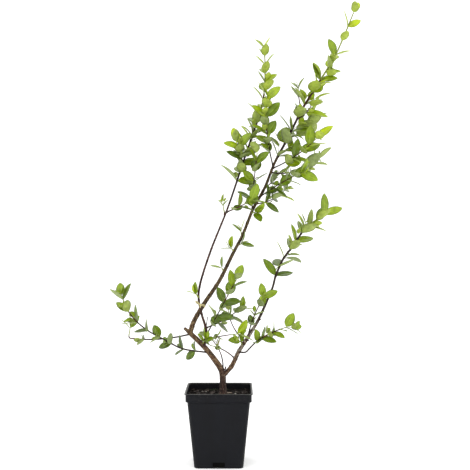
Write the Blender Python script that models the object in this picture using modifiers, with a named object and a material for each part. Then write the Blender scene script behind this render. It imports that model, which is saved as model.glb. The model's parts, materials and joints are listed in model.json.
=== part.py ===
"""A young common myrtle in a 9 cm square nursery pot.

Every woody limb and every leafy shoot is a solid of its own. The limbs follow a few named points,
the side twigs are arcs that leave a limb at a stated height, and the leaves stand in opposite pairs
that turn a right angle from one pair to the next.

Metres, +Z up. The origin is the centre of the pot's flat underside, and +Y points to the back.
"""
import math
import random
from collections import namedtuple

import bmesh
import bpy
from mathutils import Quaternion, Vector
from mathutils.bvhtree import BVHTree

MM = 0.001
GAP = 0.3 * MM                  # clearance between neighbouring solids
WELD = 0.002 * MM              # points closer than this are one

# ---------------------------------------------------------------- the pot and its compost

POT_HEIGHT = 100 * MM
BASE_WIDTH = 65 * MM            # outside, across the flats
BODY_WIDTH = 82.5 * MM          # just under the rim band
BAND_WIDTH = 87 * MM
LIP_WIDTH = 90 * MM
BAND_HEIGHT = 11 * MM
SHOULDER_RISE = 1.2 * MM        # slope under the band
LIP_HEIGHT = 1.6 * MM
LIP_SLOPE = 0.5 * MM
POT_WALL = 1.0 * MM
CORNER_RADIUS = 6 * MM
CORNER_SEGMENTS = 3
FOOT_RADIUS = 1.5 * MM

SLOT_WIDTH = 16 * MM            # drain slot in the foot of each wall
SLOT_HEIGHT = 6.5 * MM
SLOT_SILL = 1.8 * MM
SLOT_DEPTH = 6 * MM
DRAIN_RADIUS = 4.5 * MM
DRAIN_OFFSET = 18 * MM
DRAIN_SIDES = 16

SOIL_TOP = 91 * MM

# ---------------------------------------------------------------- growth of the plant

PATH_STEP = 10 * MM             # spacing of the points along a stem
LIMB_ROUNDNESS = 2              # bevel resolution: 8 sides
SHOOT_ROUNDNESS = 0             # 4 sides
TWIG_FOOT_RADIUS = 0.85 * MM
TWIG_TIP_RADIUS = 0.5 * MM
LEAF_WIDTH = 0.53              # of the leaf's length
LEAF_KEEL = 0.04                # depth under the midrib, of the leaf's length
LEAF_FOLD = 0.16                # how far the margins stand up, of the half width
LEAF_DROOP = 0.10               # how far the tip bends back, of the length
# Sections along a leaf: the distance from its root, the half width and the depth, each as a share
# of the most.
LEAF_SECTIONS = ((0.0, 0.14, 0.85), (0.2, 0.8, 1.0), (0.47, 1.0, 0.8), (0.77, 0.72, 0.5), (1.0, 0.0, 0.0))
FREE_SECTIONS = LEAF_SECTIONS[1:]   # the part of a leaf that touches nothing
YOUNG_ANGLE = 34                # degrees between a leaf and its twig, at the tip
OLD_ANGLE = 58                  # and at the foot
AXIL_LENGTH = 0.66              # of a small leaf in a pair's axils, of the pair's length
AXIL_LEAN = 0.6                 # its angle to the twig, of the pair's
TURN_SPREAD = 18                # seeded unevenness, in degrees
ANGLE_SPREAD = 10
ROLL_SPREAD = 40
LENGTH_SPREAD = 0.12
LIGHT = Vector((-0.1, -0.7, 0.7))   # the bright side that the blades turn to
LIGHT_PULL = 0.9                # how far they turn
NUDGES = (0, 25, -25, 50, -50)  # turns that a leaf tries before it is left out, in degrees
TRUNK_FOOT = (SOIL_TOP + GAP) / MM

# A line is one unbroken stem, in mm, with its radius at each point. Where it has a split height, it
# is cut there into a bare limb and the leafy shoot that carries it on.
Line = namedtuple("Line", "lower upper split route radii")
LINES = (
    Line("trunk", "low_bough", 122.5,
         ((5, 0, TRUNK_FOOT), (5, 0, 96), (5, 0, 108), (4, 0, 122), (-6, -3, 139), (-22, -6, 159),
          (-39, -6, 175), (-46, -6, 181)),
         (6.6, 4.8, 4.2, 4.3, 3.7, 3.4, 3.2, 1.3)),
    Line("right_bough", "right_crown_shoot", 246,
         ((5, 0, 117), (17, 2, 130), (26, 8, 148), (38, 14, 166), (52, 20, 188), (65, 27, 215),
          (74, 32, 236), (77, 34, 248), (88, 38, 273), (101, 42, 290), (121, 46, 318), (141, 50, 331),
          (146, 51, 336)),
         (2.9, 2.8, 2.6, 2.4, 1.9, 1.5, 1.4, 1.4, 1.3, 1.2, 1.0, 0.8, 0.5)),
    Line("tall_bough", "crown_shoot", 407,
         ((-39, -6, 175), (-34, -3, 191), (-20, 4, 215), (0, 10, 245), (18, 14, 281), (32, 16, 308),
          (46, 16, 343), (62, 14, 372), (75, 10, 405), (93, 4, 439), (112, -4, 477), (132, -12, 509),
          (152, -24, 541), (164, -32, 567), (176, -40, 597)),
         (3.1, 3.0, 2.7, 2.4, 2.1, 2.0, 1.9, 1.8, 1.6, 1.4, 1.2, 1.0, 0.8, 0.65, 0.5)),
    Line("slender_stem", "left_crown_shoot", 343,
         ((-20, -6, 158), (-17, -14, 179), (-22, -16, 198), (-27, -15, 221), (-25, -12, 243),
          (-11, -7, 287), (10, 2, 340), (24, 10, 381), (34, 16, 412), (46, 22, 447), (56, 28, 476),
          (62, 32, 509), (63, 34, 542), (62, 34, 568)),
         (1.8, 1.6, 1.5, 1.45, 1.4, 1.35, 1.2, 1.15, 1.1, 1.0, 0.9, 0.75, 0.6, 0.5)),
    Line("low_arm_shoot", None, None,
         ((-14, -4, 149), (-35, -16, 153), (-52, -24, 158), (-70, -32, 169), (-89, -38, 180),
          (-106, -44, 194), (-116, -47, 207), (-122, -49, 216), (-123, -50, 223)),
         (1.0, 0.95, 0.95, 0.9, 0.85, 0.8, 0.7, 0.6, 0.5)),
    Line("high_arm_shoot", None, None,
         ((-38, -6, 174), (-63, 4, 168), (-95, 16, 164), (-125, 24, 166), (-124, 26, 178)),
         (1.0, 0.95, 0.9, 0.8, 0.5)),
    Line("low_right_shoot", None, None,
         ((26, 8, 148), (35, -2, 149), (52, -18, 167), (73, -29, 180), (88, -34, 186)),
         (1.0, 0.95, 0.9, 0.8, 0.5)),
)

# The leaves of a shoot: the number of pairs, the bare length before the first pair in mm, the first
# pair's turn in degrees (0 is left and right), and a leaf's length at the foot and the tip in mm. The
# pairs on the share from its foot up that axils gives have small leaves in their axils.
Leaves = namedtuple("Leaves", "pairs bare turn foot tip axils", defaults=(0,))
LINE_LEAVES = {
    "right_crown_shoot": Leaves(9, 4, 20, 29, 29, 0.9),
    "crown_shoot": Leaves(12, 8, 0, 34, 19, 0.9),
    "left_crown_shoot": Leaves(17, 40, 20, 29, 19, 0.8),
    "low_arm_shoot": Leaves(8, 20, 130, 18, 26, 0.8),
    "high_arm_shoot": Leaves(2, 70, 90, 15, 21),
    "low_right_shoot": Leaves(6, 40, 90, 18, 21, 0.6),
}

# A side twig leaves its parent at a height, with a lean from upright (clockwise, seen from the
# front), a curl over its whole length and a swing to the back, all in degrees. Sizes are in mm.
# A twig that names a shoot under joined is fused to that shoot.
Twig = namedtuple("Twig", "name parent height lean curl swing length leaves joined")
TWIGS = (
    Twig("crown_right", "crown_shoot", 439, 76, -64, 32, 66, Leaves(5, 14, 90, 30, 27, 0.8), "crown_shoot"),
    Twig("crown_upper", "crown_shoot", 464, 66, -50, -18, 36, Leaves(3, 14, 0, 28, 26, 0.7), "crown_shoot"),
    Twig("crown_thin", "crown_shoot", 475, -14, 15, 18, 33, Leaves(2, 20, 60, 18, 17), "crown_shoot"),
    Twig("left_fork", "left_crown_shoot", 404, -7, -10, -18, 32, Leaves(4, 8, 0, 23, 23, 0.8),
         "left_crown_shoot"),
    Twig("left_inner", "left_crown_shoot", 428, 30, -40, 24, 32, Leaves(3, 10, 90, 21, 21, 0.5),
         "left_crown_shoot"),
    Twig("second_leader", "tall_bough", 401, -16, 19, -16, 92, Leaves(7, 20, 0, 25, 24, 0.6), None),
    Twig("crown_mid", "tall_bough", 398, 69, -24, -23, 74, Leaves(5, 20, 90, 28, 27, 0.8), None),
    Twig("crown_low", "tall_bough", 393, 99, -53, 29, 84, Leaves(6, 16, 0, 26, 27, 0.5), None),
    Twig("crown_lowest", "tall_bough", 359, 54, 12, -28, 70, Leaves(6, 12, 90, 21, 23), None),
    Twig("bough_spray", "tall_bough", 350, 85, -41, 23, 49, Leaves(4, 14, 0, 22, 22, 0.6), None),
    Twig("inner_upright", "tall_bough", 339, 3, 4, -16, 82, Leaves(6, 16, 0, 25, 22, 0.8), None),
    Twig("bough_spur", "tall_bough", 371, 54, -17, 37, 28, Leaves(2, 14, 0, 20, 20), None),
    Twig("slender_right", "slender_stem", 338, 69, -7, -21, 40, Leaves(4, 10, 90, 17, 22), None),
    Twig("slender_left", "slender_stem", 334, -11, 0, 19, 14, Leaves(1, 14, 0, 12, 12), None),
    Twig("rise_twig", "slender_stem", 172, 28, 0, -20, 93, Leaves(7, 18, 90, 22, 22, 0.9), None),
    Twig("level_twig", "slender_stem", 183, 71, -16, 24, 57, Leaves(5, 18, 0, 20, 20), None),
    Twig("wavy_twig", "low_bough", 164, 72, 11, -11, 54, Leaves(2, 20, 90, 12, 23), None),
    Twig("fork_twig", "trunk", 119, 11, -66, 19, 58, Leaves(2, 38, 0, 14, 15), None),
    Twig("cross_twig", "right_bough", 139, -43, -36, -6, 40, Leaves(2, 24, 90, 13, 14), None),
    Twig("back_twig", "right_bough", 162, -53, 47, 16, 50, Leaves(2, 36, 0, 14, 15), None),
    Twig("inner_twig", "right_bough", 167, 11, 20, -12, 61, Leaves(4, 18, 90, 18, 19), None),
    Twig("spur_low", "low_bough", 160, 30, 0, -40, 9, Leaves(1, 9, 0, 19, 19), None),
    Twig("spur_right", "right_bough", 157, -30, 0, -40, 8, Leaves(1, 8, 0, 17, 17), None),
    Twig("spur_slender", "slender_stem", 224, -38, 0, -12, 5, Leaves(1, 5, 0, 17, 17), None),
    Twig("spur_1", "tall_bough", 257, -30, 0, -10, 6, Leaves(1, 6, 0, 17, 17), None),
    Twig("spur_2", "tall_bough", 285, -46, 0, -20, 6, Leaves(1, 6, 0, 17, 17), None),
    Twig("spur_3", "tall_bough", 292, 62, 0, 10, 6, Leaves(1, 6, 0, 18, 18), None),
    Twig("spur_4", "tall_bough", 306, -16, 0, 5, 6, Leaves(1, 6, 0, 18, 18), None),
    Twig("spur_5", "tall_bough", 338, 90, 0, -45, 6, Leaves(1, 6, 0, 20, 20), None),
)
BARE_LIMBS = ("trunk", "low_bough", "right_bough", "tall_bough", "slender_stem")

# ---------------------------------------------------------------- finishes: colour and roughness

POT_FINISH = ((0.018, 0.019, 0.022), 0.45)
SOIL_FINISH = ((0.022, 0.015, 0.011), 0.95)
BARK_FINISH = ((0.085, 0.050, 0.030), 0.85)
LEAF_FINISH = ((0.110, 0.210, 0.020), 0.45)


# ---------------------------------------------------------------- objects, meshes and materials

def clear_scene():
    for obj in list(bpy.data.objects):
        bpy.data.objects.remove(obj, do_unlink=True)


def new_collection(name):
    collection = bpy.data.collections.new(name)
    bpy.context.scene.collection.children.link(collection)
    return collection


def new_object(name, data, collection):
    obj = bpy.data.objects.new(name, data)
    collection.objects.link(obj)
    return obj


def mesh_from(name, bm):
    """A mesh of triangles and quads, welded, with its faces pointing out."""
    bmesh.ops.remove_doubles(bm, verts=bm.verts, dist=WELD)
    bmesh.ops.recalc_face_normals(bm, faces=bm.faces)
    mesh = bpy.data.meshes.new(name)
    bm.to_mesh(mesh)
    bm.free()
    return mesh


def paint(obj, finish):
    """Give a part its own material."""
    colour, roughness = finish
    material = bpy.data.materials.new(obj.name + "_finish")
    material.use_nodes = True
    shader = material.node_tree.nodes["Principled BSDF"]
    shader.inputs["Base Color"].default_value = (*colour, 1)
    shader.inputs["Roughness"].default_value = roughness
    shader.inputs["Metallic"].default_value = 0
    obj.data.materials.clear()
    obj.data.materials.append(material)


def evaluated_mesh(obj):
    graph = bpy.context.evaluated_depsgraph_get()
    return bpy.data.meshes.new_from_object(obj.evaluated_get(graph))


def boolean(obj, operation, other):
    """Add a Boolean with one object, or with every object of a collection."""
    modifier = obj.modifiers.new(operation.title(), "BOOLEAN")
    modifier.operation = operation
    modifier.solver = "EXACT"
    if isinstance(other, bpy.types.Collection):
        modifier.operand_type = "COLLECTION"
        modifier.collection = other
    else:
        modifier.object = other


def largest_shell(mesh):
    """Keep a mesh's largest connected shell, which drops scraps and the walls of sealed hollows."""
    bm = bmesh.new()
    bm.from_mesh(mesh)
    shells = []
    waiting = set(bm.verts)
    while waiting:
        shell = set()
        front = [waiting.pop()]
        while front:
            vert = front.pop()
            shell.add(vert)
            near = {edge.other_vert(vert) for edge in vert.link_edges} & waiting
            waiting -= near
            front.extend(near)
        shells.append(shell)
    keep = max(shells, key=len)
    bmesh.ops.delete(bm, geom=[vert for vert in bm.verts if vert not in keep], context="VERTS")
    bm.to_mesh(mesh)
    bm.free()


def apply_modifiers(obj):
    mesh = evaluated_mesh(obj)
    obj.modifiers.clear()
    obj.data = mesh
    largest_shell(mesh)


def remove_objects(collection):
    for obj in list(collection.objects):
        bpy.data.objects.remove(obj, do_unlink=True)
    bpy.data.collections.remove(collection)


# ---------------------------------------------------------------- the pot and its compost

def outline(width, corner):
    """The points of a square with round corners."""
    middle = width / 2 - corner
    points = []
    for quarter in range(4):
        bisector = math.radians(90 * quarter + 45)
        centre = Vector((math.copysign(middle, math.cos(bisector)),
                         math.copysign(middle, math.sin(bisector))))
        for step in range(CORNER_SEGMENTS + 1):
            angle = math.radians(90 * (quarter + step / CORNER_SEGMENTS))
            points.append(centre + corner * Vector((math.cos(angle), math.sin(angle))))
    return points


def angle_of(point):
    return math.atan2(point.y, point.x)


def set_ring(face, height, width, corner):
    """Move a face's corners onto a square outline at a height."""
    verts = sorted(face.verts, key=lambda vert: angle_of(vert.co))
    for vert, point in zip(verts, sorted(outline(width, corner), key=angle_of)):
        vert.co = (point.x, point.y, height)


def square_form(name, rings, collection, open_top=False):
    """A square form with round corners, through rings of (height, width, corner) from the foot up."""
    bm = bmesh.new()
    bmesh.ops.create_cone(bm, cap_ends=True, segments=4 * (CORNER_SEGMENTS + 1), radius1=1, radius2=1,
                          depth=1)
    floor = next(face for face in bm.faces if face.normal.z < -0.9)
    lid = next(face for face in bm.faces if face.normal.z > 0.9)
    set_ring(floor, *rings[0])
    set_ring(lid, *rings[1])
    for ring in rings[2:]:
        raised = bmesh.ops.extrude_face_region(bm, geom=[lid])["geom"]
        bmesh.ops.delete(bm, geom=[lid], context="FACES_ONLY")
        lid = next(item for item in raised if isinstance(item, bmesh.types.BMFace))
        set_ring(lid, *ring)
    if open_top:
        bmesh.ops.delete(bm, geom=[lid], context="FACES_ONLY")
    return new_object(name, mesh_from(name, bm), collection)


def inset(rings, depth):
    """The rings of the form that fits inside another one, at a depth from its surface."""
    points = [Vector((0, rings[0][0]))] + [Vector((width / 2, height)) for height, width, _ in rings]
    inner = []
    for before, here, after, ring in zip(points, points[1:], points[2:], rings):
        first = (here - before).orthogonal().normalized()
        second = (after - here).orthogonal().normalized()
        shift = (first + second) * depth / (1 + first.dot(second))
        inner.append((here.y + shift.y, 2 * (here.x + shift.x), ring[2] + shift.x))
    return inner


def add_pot(parts, cutters):
    """The moulded pot and the compost that fills it."""
    band_foot = POT_HEIGHT - BAND_HEIGHT
    lip_foot = POT_HEIGHT - LIP_HEIGHT
    rings = [(0, BASE_WIDTH - 2 * FOOT_RADIUS, CORNER_RADIUS - FOOT_RADIUS),
             (FOOT_RADIUS, BASE_WIDTH, CORNER_RADIUS),
             (band_foot - SHOULDER_RISE, BODY_WIDTH, CORNER_RADIUS),
             (band_foot, BAND_WIDTH, CORNER_RADIUS),
             (lip_foot, BAND_WIDTH, CORNER_RADIUS),
             (lip_foot + LIP_SLOPE, LIP_WIDTH, CORNER_RADIUS),
             (POT_HEIGHT, LIP_WIDTH, CORNER_RADIUS)]
    pot = square_form("pot", rings, parts, open_top=True)
    wall = pot.modifiers.new("Wall", "SOLIDIFY")
    wall.thickness = POT_WALL
    wall.offset = -1
    wall.use_even_offset = True

    for quarter in range(4):
        turn = math.radians(90 * quarter)
        outward = Vector((math.sin(turn), -math.cos(turn), 0))
        bm = bmesh.new()
        bmesh.ops.create_cube(bm, size=1)
        slot = new_object(f"slot_{quarter}", mesh_from("slot", bm), cutters)
        slot.scale = (SLOT_WIDTH, SLOT_DEPTH, SLOT_HEIGHT)
        slot.rotation_euler.z = turn
        slot.location = outward * BASE_WIDTH / 2 + Vector((0, 0, SLOT_SILL + SLOT_HEIGHT / 2))
        boolean(pot, "DIFFERENCE", slot)

        bm = bmesh.new()
        bmesh.ops.create_cone(bm, cap_ends=True, segments=DRAIN_SIDES, radius1=DRAIN_RADIUS,
                              radius2=DRAIN_RADIUS, depth=4 * POT_WALL)
        drain = new_object(f"drain_{quarter}", mesh_from("drain", bm), cutters)
        corner = Vector((math.copysign(1, outward.x + outward.y), math.copysign(1, outward.y - outward.x), 0))
        drain.location = corner * DRAIN_OFFSET
        boolean(pot, "DIFFERENCE", drain)
    paint(pot, POT_FINISH)

    inner = inset(rings, POT_WALL + GAP)[:4]
    inner.append((SOIL_TOP, *inner[-1][1:]))
    soil = square_form("compost", inner, parts)
    paint(soil, SOIL_FINISH)


# ---------------------------------------------------------------- stems

def smooth(route, radii):
    """Places and radii along a Catmull-Rom curve through a route."""
    points = [Vector(point) * MM for point in route]
    points = [2 * points[0] - points[1], *points, 2 * points[-1] - points[-2]]
    path = []
    for index in range(len(route) - 1):
        before, start, end, after = points[index:index + 4]
        steps = max(1, round((end - start).length / PATH_STEP))
        for step in range(steps):
            t = step / steps
            place = (2 * start + (end - before) * t + (2 * before - 5 * start + 4 * end - after) * t ** 2
                     + (3 * start - before - 3 * end + after) * t ** 3) / 2
            path.append((place, (radii[index] * (1 - t) + radii[index + 1] * t) * MM))
    path.append((points[-2], radii[-1] * MM))
    return path


def split_path(path, height):
    """The stretches of a rising path below and above a height, a gap apart."""
    for index, ((start, thick), (end, thin)) in enumerate(zip(path, path[1:])):
        if start.z <= height < end.z:
            share = (height - start.z) / (end.z - start.z)
            half = GAP / 2 / (end - start).length
            radius = thick * (1 - share) + thin * share
            lower = path[:index + 1] + [(start.lerp(end, share - half), radius)]
            upper = [(start.lerp(end, share + half), radius)] + path[index + 1:]
            return lower, upper


def place_at_height(path, height):
    for (start, _), (end, _) in zip(path, path[1:]):
        if start.z <= height < end.z:
            return start.lerp(end, (height - start.z) / (end.z - start.z))


def place_along(path, distance):
    """The place at a distance along a path, and the heading there."""
    for (start, _), (end, _) in zip(path, path[1:]):
        step = (end - start).length
        if distance <= step:
            return start.lerp(end, distance / step), (end - start).normalized()
        distance -= step
    return end, (end - start).normalized()


def path_length(path):
    return sum((end - start).length for (start, _), (end, _) in zip(path, path[1:]))


def arc_path(twig, start):
    """A side twig's places and radii, from inside its parent."""
    steps = max(2, round(twig.length * MM / PATH_STEP))
    swing = math.radians(twig.swing)
    path = [(start, TWIG_FOOT_RADIUS)]
    for step in range(steps):
        lean = math.radians(twig.lean + twig.curl * (step + 0.5) / steps)
        heading = Vector((math.sin(lean) * math.cos(swing), math.sin(swing),
                          math.cos(lean) * math.cos(swing)))
        share = (step + 1) / steps
        radius = TWIG_FOOT_RADIUS * (1 - share) + TWIG_TIP_RADIUS * share
        path.append((path[-1][0] + heading * twig.length * MM / steps, radius))
    return path


def stem_paths():
    """Every stem's path by name, and the leaves that it bears."""
    paths = {}
    leaves = {}
    for line in LINES:
        path = smooth(line.route, line.radii)
        if line.split:
            paths[line.lower], paths[line.upper] = split_path(path, line.split * MM)
        else:
            paths[line.lower] = path
    leaves.update(LINE_LEAVES)
    for twig in TWIGS:
        paths[twig.name] = arc_path(twig, place_at_height(paths[twig.parent], twig.height * MM))
        leaves[twig.name] = twig.leaves
    return paths, leaves


def tube(name, path, roundness, collection, grow=0.0):
    """A closed round stem along a path. A grown one is the space it keeps free around it."""
    if grow:
        first = (path[0][0] - path[1][0]).normalized() * grow
        last = (path[-1][0] - path[-2][0]).normalized() * grow
        path = [(path[0][0] + first, path[0][1]), *path[1:-1], (path[-1][0] + last, path[-1][1])]
    curve = bpy.data.curves.new(name, "CURVE")
    curve.dimensions = "3D"
    curve.bevel_depth = 1
    curve.bevel_resolution = roundness
    curve.use_fill_caps = True
    spline = curve.splines.new("POLY")
    spline.points.add(len(path) - 1)
    for point, (place, radius) in zip(spline.points, path):
        point.co = (*place, 1)
        point.radius = radius + grow
    guide = new_object(name, curve, collection)
    bm = bmesh.new()
    bm.from_mesh(evaluated_mesh(guide))
    bpy.data.objects.remove(guide, do_unlink=True)
    bpy.data.curves.remove(curve)
    return new_object(name, mesh_from(name, bm), collection)


def tree_of(obj):
    """A search tree of a mesh, with the centre and radius of a ball round it."""
    points = [vert.co.copy() for vert in obj.data.vertices]
    faces = [tuple(face.vertices) for face in obj.data.polygons]
    return solid_tree(points, faces)


def solid_tree(points, faces):
    centre = sum(points, Vector()) / len(points)
    reach = max((point - centre).length for point in points)
    return BVHTree.FromPolygons(points, faces), centre, reach


def add_limbs(paths, parts, cutters):
    """The bare limbs, each cut clear of the ones before it. The cutters are their grown copies."""
    for name in BARE_LIMBS:
        limb = tube(name, paths[name], LIMB_ROUNDNESS, parts)
        cut_clear(limb, cutters, name)
        cutter = tube(name + "_space", paths[name], LIMB_ROUNDNESS, cutters, grow=GAP)
        cutter.hide_render = True
        cutter.display_type = "WIRE"
        limb.data.shade_smooth()
        paint(limb, BARK_FINISH)


def carried_on_from(name):
    """The bare limb that a shoot or bough carries on, if it does."""
    for line in LINES:
        if line.upper == name:
            return line.lower
    return None


def boxes_meet(one, other):
    for axis in range(3):
        mine = [vert.co[axis] for vert in one.data.vertices]
        theirs = [vert.co[axis] for vert in other.data.vertices]
        if min(mine) > max(theirs) or max(mine) < min(theirs):
            return False
    return True


def cut_clear(obj, cutters, name):
    """Cut a stem or a leafy shoot clear of every limb that it starts in."""
    skipped = carried_on_from(name)
    for cutter in cutters.objects:
        if cutter.name != f"{skipped}_space" and boxes_meet(obj, cutter):
            boolean(obj, "DIFFERENCE", cutter)
    if obj.modifiers:
        apply_modifiers(obj)


# ---------------------------------------------------------------- leaves

def leaf_shape(root, along, normal, length, sections, spare=0.0):
    """Points and faces of a leaf with a keel. Spare thickens it into the space it keeps free."""
    across = along.cross(normal)
    points = []
    for distance, half, depth in sections:
        middle = root + along * length * distance - normal * length * LEAF_DROOP * distance ** 2
        reach = half * length * LEAF_WIDTH / 2 + spare
        rise = normal * (LEAF_FOLD * reach + spare)
        points.append(middle - across * reach + rise)
        points.append(middle + across * reach + rise)
        points.append(middle - normal * (depth * length * LEAF_KEEL + spare))
    faces = [(0, 1, 2), (len(points) - 1, len(points) - 2, len(points) - 3)]
    for first in range(0, len(points) - 3, 3):
        for one, two in ((0, 1), (1, 2), (2, 0)):
            faces.append((first + two, first + one, first + one + 3))
            faces.append((first + two, first + one + 3, first + two + 3))
    return points, faces


def is_free(tree, centre, reach, taken):
    for other, its_centre, its_reach in taken:
        if (centre - its_centre).length < reach + its_reach and tree.overlap(other):
            return False
    return True


def leaves_on(name, path, leaves, taken):
    """The leaf shapes of one stem: opposite pairs, each a right angle on from the pair before."""
    rng = random.Random(name)
    total = path_length(path)
    bare = leaves.bare * MM
    shapes = []
    for pair in range(leaves.pairs):
        share = pair / (leaves.pairs - 1) if leaves.pairs > 1 else 1
        distance = bare + (total - bare) * share
        root, axis = place_along(path, distance)
        left = axis.cross(Vector((0, 1, 0))).normalized()
        for side in (0, 180, 90, 270) if share < leaves.axils else (0, 180):
            small = side % 180
            turn = leaves.turn + 90 * pair + side + rng.uniform(-TURN_SPREAD, TURN_SPREAD)
            lean = OLD_ANGLE + (YOUNG_ANGLE - OLD_ANGLE) * distance / total
            lean = math.radians(lean + rng.uniform(-ANGLE_SPREAD, ANGLE_SPREAD))
            lean *= AXIL_LEAN if small else 1
            roll = math.radians(rng.uniform(-ROLL_SPREAD, ROLL_SPREAD))
            length = (leaves.foot + (leaves.tip - leaves.foot) * share) * MM
            length *= 1 + rng.uniform(-LENGTH_SPREAD, LENGTH_SPREAD)
            length *= AXIL_LENGTH if small else 1
            for nudge in NUDGES:
                outward = left.copy()
                outward.rotate(Quaternion(axis, math.radians(turn + nudge)))
                along = axis * math.cos(lean) + outward * math.sin(lean)
                normal = axis * math.sin(lean) - outward * math.cos(lean) + LIGHT * LIGHT_PULL
                normal = (normal - along * normal.dot(along)).normalized()
                normal.rotate(Quaternion(along, roll))
                space = solid_tree(*leaf_shape(root, along, normal, length, FREE_SECTIONS, GAP))
                if is_free(*space, taken):
                    taken.append(space)
                    shapes.append(leaf_shape(root, along, normal, length, LEAF_SECTIONS))
                    break
    return shapes


def add_shoot(name, stems, shapes, parts, cutters):
    """One leafy shoot: its stems and leaves joined, and cut clear of the limb it grows from."""
    pieces = new_collection("pieces")
    shoot = tube(name, stems[0], SHOOT_ROUNDNESS, parts)
    for index, path in enumerate(stems[1:]):
        tube(f"fork_{index}", path, SHOOT_ROUNDNESS, pieces)
    for index, (points, faces) in enumerate(shapes):
        bm = bmesh.new()
        verts = [bm.verts.new(point) for point in points]
        for face in faces:
            bm.faces.new([verts[corner] for corner in face])
        new_object(f"leaf_{index}", mesh_from("leaf", bm), pieces)
    boolean(shoot, "UNION", pieces)
    apply_modifiers(shoot)
    remove_objects(pieces)
    cut_clear(shoot, cutters, name)
    paint(shoot, LEAF_FINISH)


def main():
    clear_scene()
    parts = new_collection("potted_myrtle")
    cutters = new_collection("cutters")
    add_pot(parts, cutters)
    for cutter in cutters.objects:
        cutter.hide_render = True
        cutter.display_type = "WIRE"

    paths, leaves = stem_paths()
    limb_spaces = new_collection("limb_spaces")
    add_limbs(paths, parts, limb_spaces)

    taken = []
    for name, path in paths.items():
        space = tube("space", path, SHOOT_ROUNDNESS, cutters, grow=GAP)
        taken.append(tree_of(space))
        bpy.data.objects.remove(space, do_unlink=True)

    joined = {twig.name: twig.joined for twig in TWIGS if twig.joined}
    for name in leaves:
        if name in joined:
            continue
        stems = [name] + [fork for fork, shoot in joined.items() if shoot == name]
        shapes = [shape for stem in stems for shape in leaves_on(stem, paths[stem], leaves[stem], taken)]
        add_shoot(name, [paths[stem] for stem in stems], shapes, parts, limb_spaces)


main()
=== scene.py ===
"""A young common myrtle in a 9 cm square nursery pot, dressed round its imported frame.

Metres, +Z up. The origin is the centre of the pot's flat underside, and +Y points to the back. After
the view, the sections follow the plant from the pot up: the pot, the compost, the lines of all its
stems, the woody limbs, the leaves and finer twigs. The studio comes last.
"""
import json
import math
import random
from collections import namedtuple

import bmesh
import bpy
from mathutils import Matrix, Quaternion, Vector, noise
from mathutils.bvhtree import BVHTree
from mathutils.kdtree import KDTree

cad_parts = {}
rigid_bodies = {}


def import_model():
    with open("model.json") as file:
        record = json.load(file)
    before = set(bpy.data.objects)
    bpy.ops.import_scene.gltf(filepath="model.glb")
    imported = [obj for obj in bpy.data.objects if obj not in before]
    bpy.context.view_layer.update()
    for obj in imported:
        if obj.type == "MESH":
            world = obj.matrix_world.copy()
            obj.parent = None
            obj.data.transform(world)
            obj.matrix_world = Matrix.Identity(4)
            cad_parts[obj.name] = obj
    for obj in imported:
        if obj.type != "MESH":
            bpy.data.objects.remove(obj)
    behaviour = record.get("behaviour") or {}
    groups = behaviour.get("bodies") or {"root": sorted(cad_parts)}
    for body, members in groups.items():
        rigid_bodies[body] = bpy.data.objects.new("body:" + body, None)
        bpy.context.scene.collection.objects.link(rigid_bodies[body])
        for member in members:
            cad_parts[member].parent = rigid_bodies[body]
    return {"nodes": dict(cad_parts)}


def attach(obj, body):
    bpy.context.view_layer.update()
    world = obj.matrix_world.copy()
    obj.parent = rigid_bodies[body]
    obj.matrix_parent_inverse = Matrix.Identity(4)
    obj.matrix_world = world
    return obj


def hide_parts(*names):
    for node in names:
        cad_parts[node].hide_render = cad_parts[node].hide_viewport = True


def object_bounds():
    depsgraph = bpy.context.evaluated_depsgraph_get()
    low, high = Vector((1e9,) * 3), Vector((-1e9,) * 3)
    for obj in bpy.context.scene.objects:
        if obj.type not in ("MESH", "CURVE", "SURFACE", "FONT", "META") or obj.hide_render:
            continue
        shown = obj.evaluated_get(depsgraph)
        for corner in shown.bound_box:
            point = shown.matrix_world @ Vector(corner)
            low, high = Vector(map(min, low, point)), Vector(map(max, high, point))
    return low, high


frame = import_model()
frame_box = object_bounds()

# ================================================================ the view
# A level camera as high as the middle of the plant, a good metre in front of it, so that one looks
# a little down into the pot and straight into the crown.

EYE = (0.02615, -1.1494, 0.3073)
HEADING = Vector((-0.0042, 1, 0))
LENS = 65.1                     # mm
SENSOR_WIDTH = 36               # mm

camera = bpy.data.objects.new("camera", bpy.data.cameras.new("camera"))
bpy.context.scene.collection.objects.link(camera)
camera.location = EYE
camera.rotation_euler = HEADING.to_track_quat("-Z", "Y").to_euler()
camera.data.sensor_width = SENSOR_WIDTH
camera.data.lens = LENS
bpy.context.scene.camera = camera
bpy.context.scene.view_settings.view_transform = "Standard"

# ================================================================ the pot
# A square nursery pot, injection moulded in black polypropylene a millimetre thick. The walls draw
# in to the foot so that pots stack, a band stiffens the rim, and a lip turns out at the top. Water
# leaves by a slot at the foot of each wall and four holes in the floor.

MM = 0.001
POT_HEIGHT = 100 * MM
BASE_WIDTH = 65 * MM            # outside, across the flats
BODY_WIDTH = 82.5 * MM          # just under the rim band
BAND_WIDTH = 87 * MM
LIP_WIDTH = 90 * MM
BAND_HEIGHT = 11 * MM
SHOULDER_RISE = 1.2 * MM        # slope under the band
LIP_HEIGHT = 1.6 * MM
LIP_SLOPE = 0.5 * MM
POT_WALL = 1.0 * MM
CORNER_RADIUS = 6 * MM
CORNER_SEGMENTS = 9
EDGE_ROUND = 0.4 * MM           # the mould's edges
FOOT_ROUND = 1.5 * MM
SLOT_WIDTH = 16 * MM
SLOT_HEIGHT = 6.5 * MM
SLOT_SILL = 1.8 * MM
SLOT_DEPTH = 6 * MM
DRAIN_RADIUS = 4.5 * MM
DRAIN_OFFSET = 18 * MM
SLOT_ROUND = 1.2 * MM
MOULD_GRAIN = 0.9 * MM          # the real grain is a third of this, too fine to show
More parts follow.
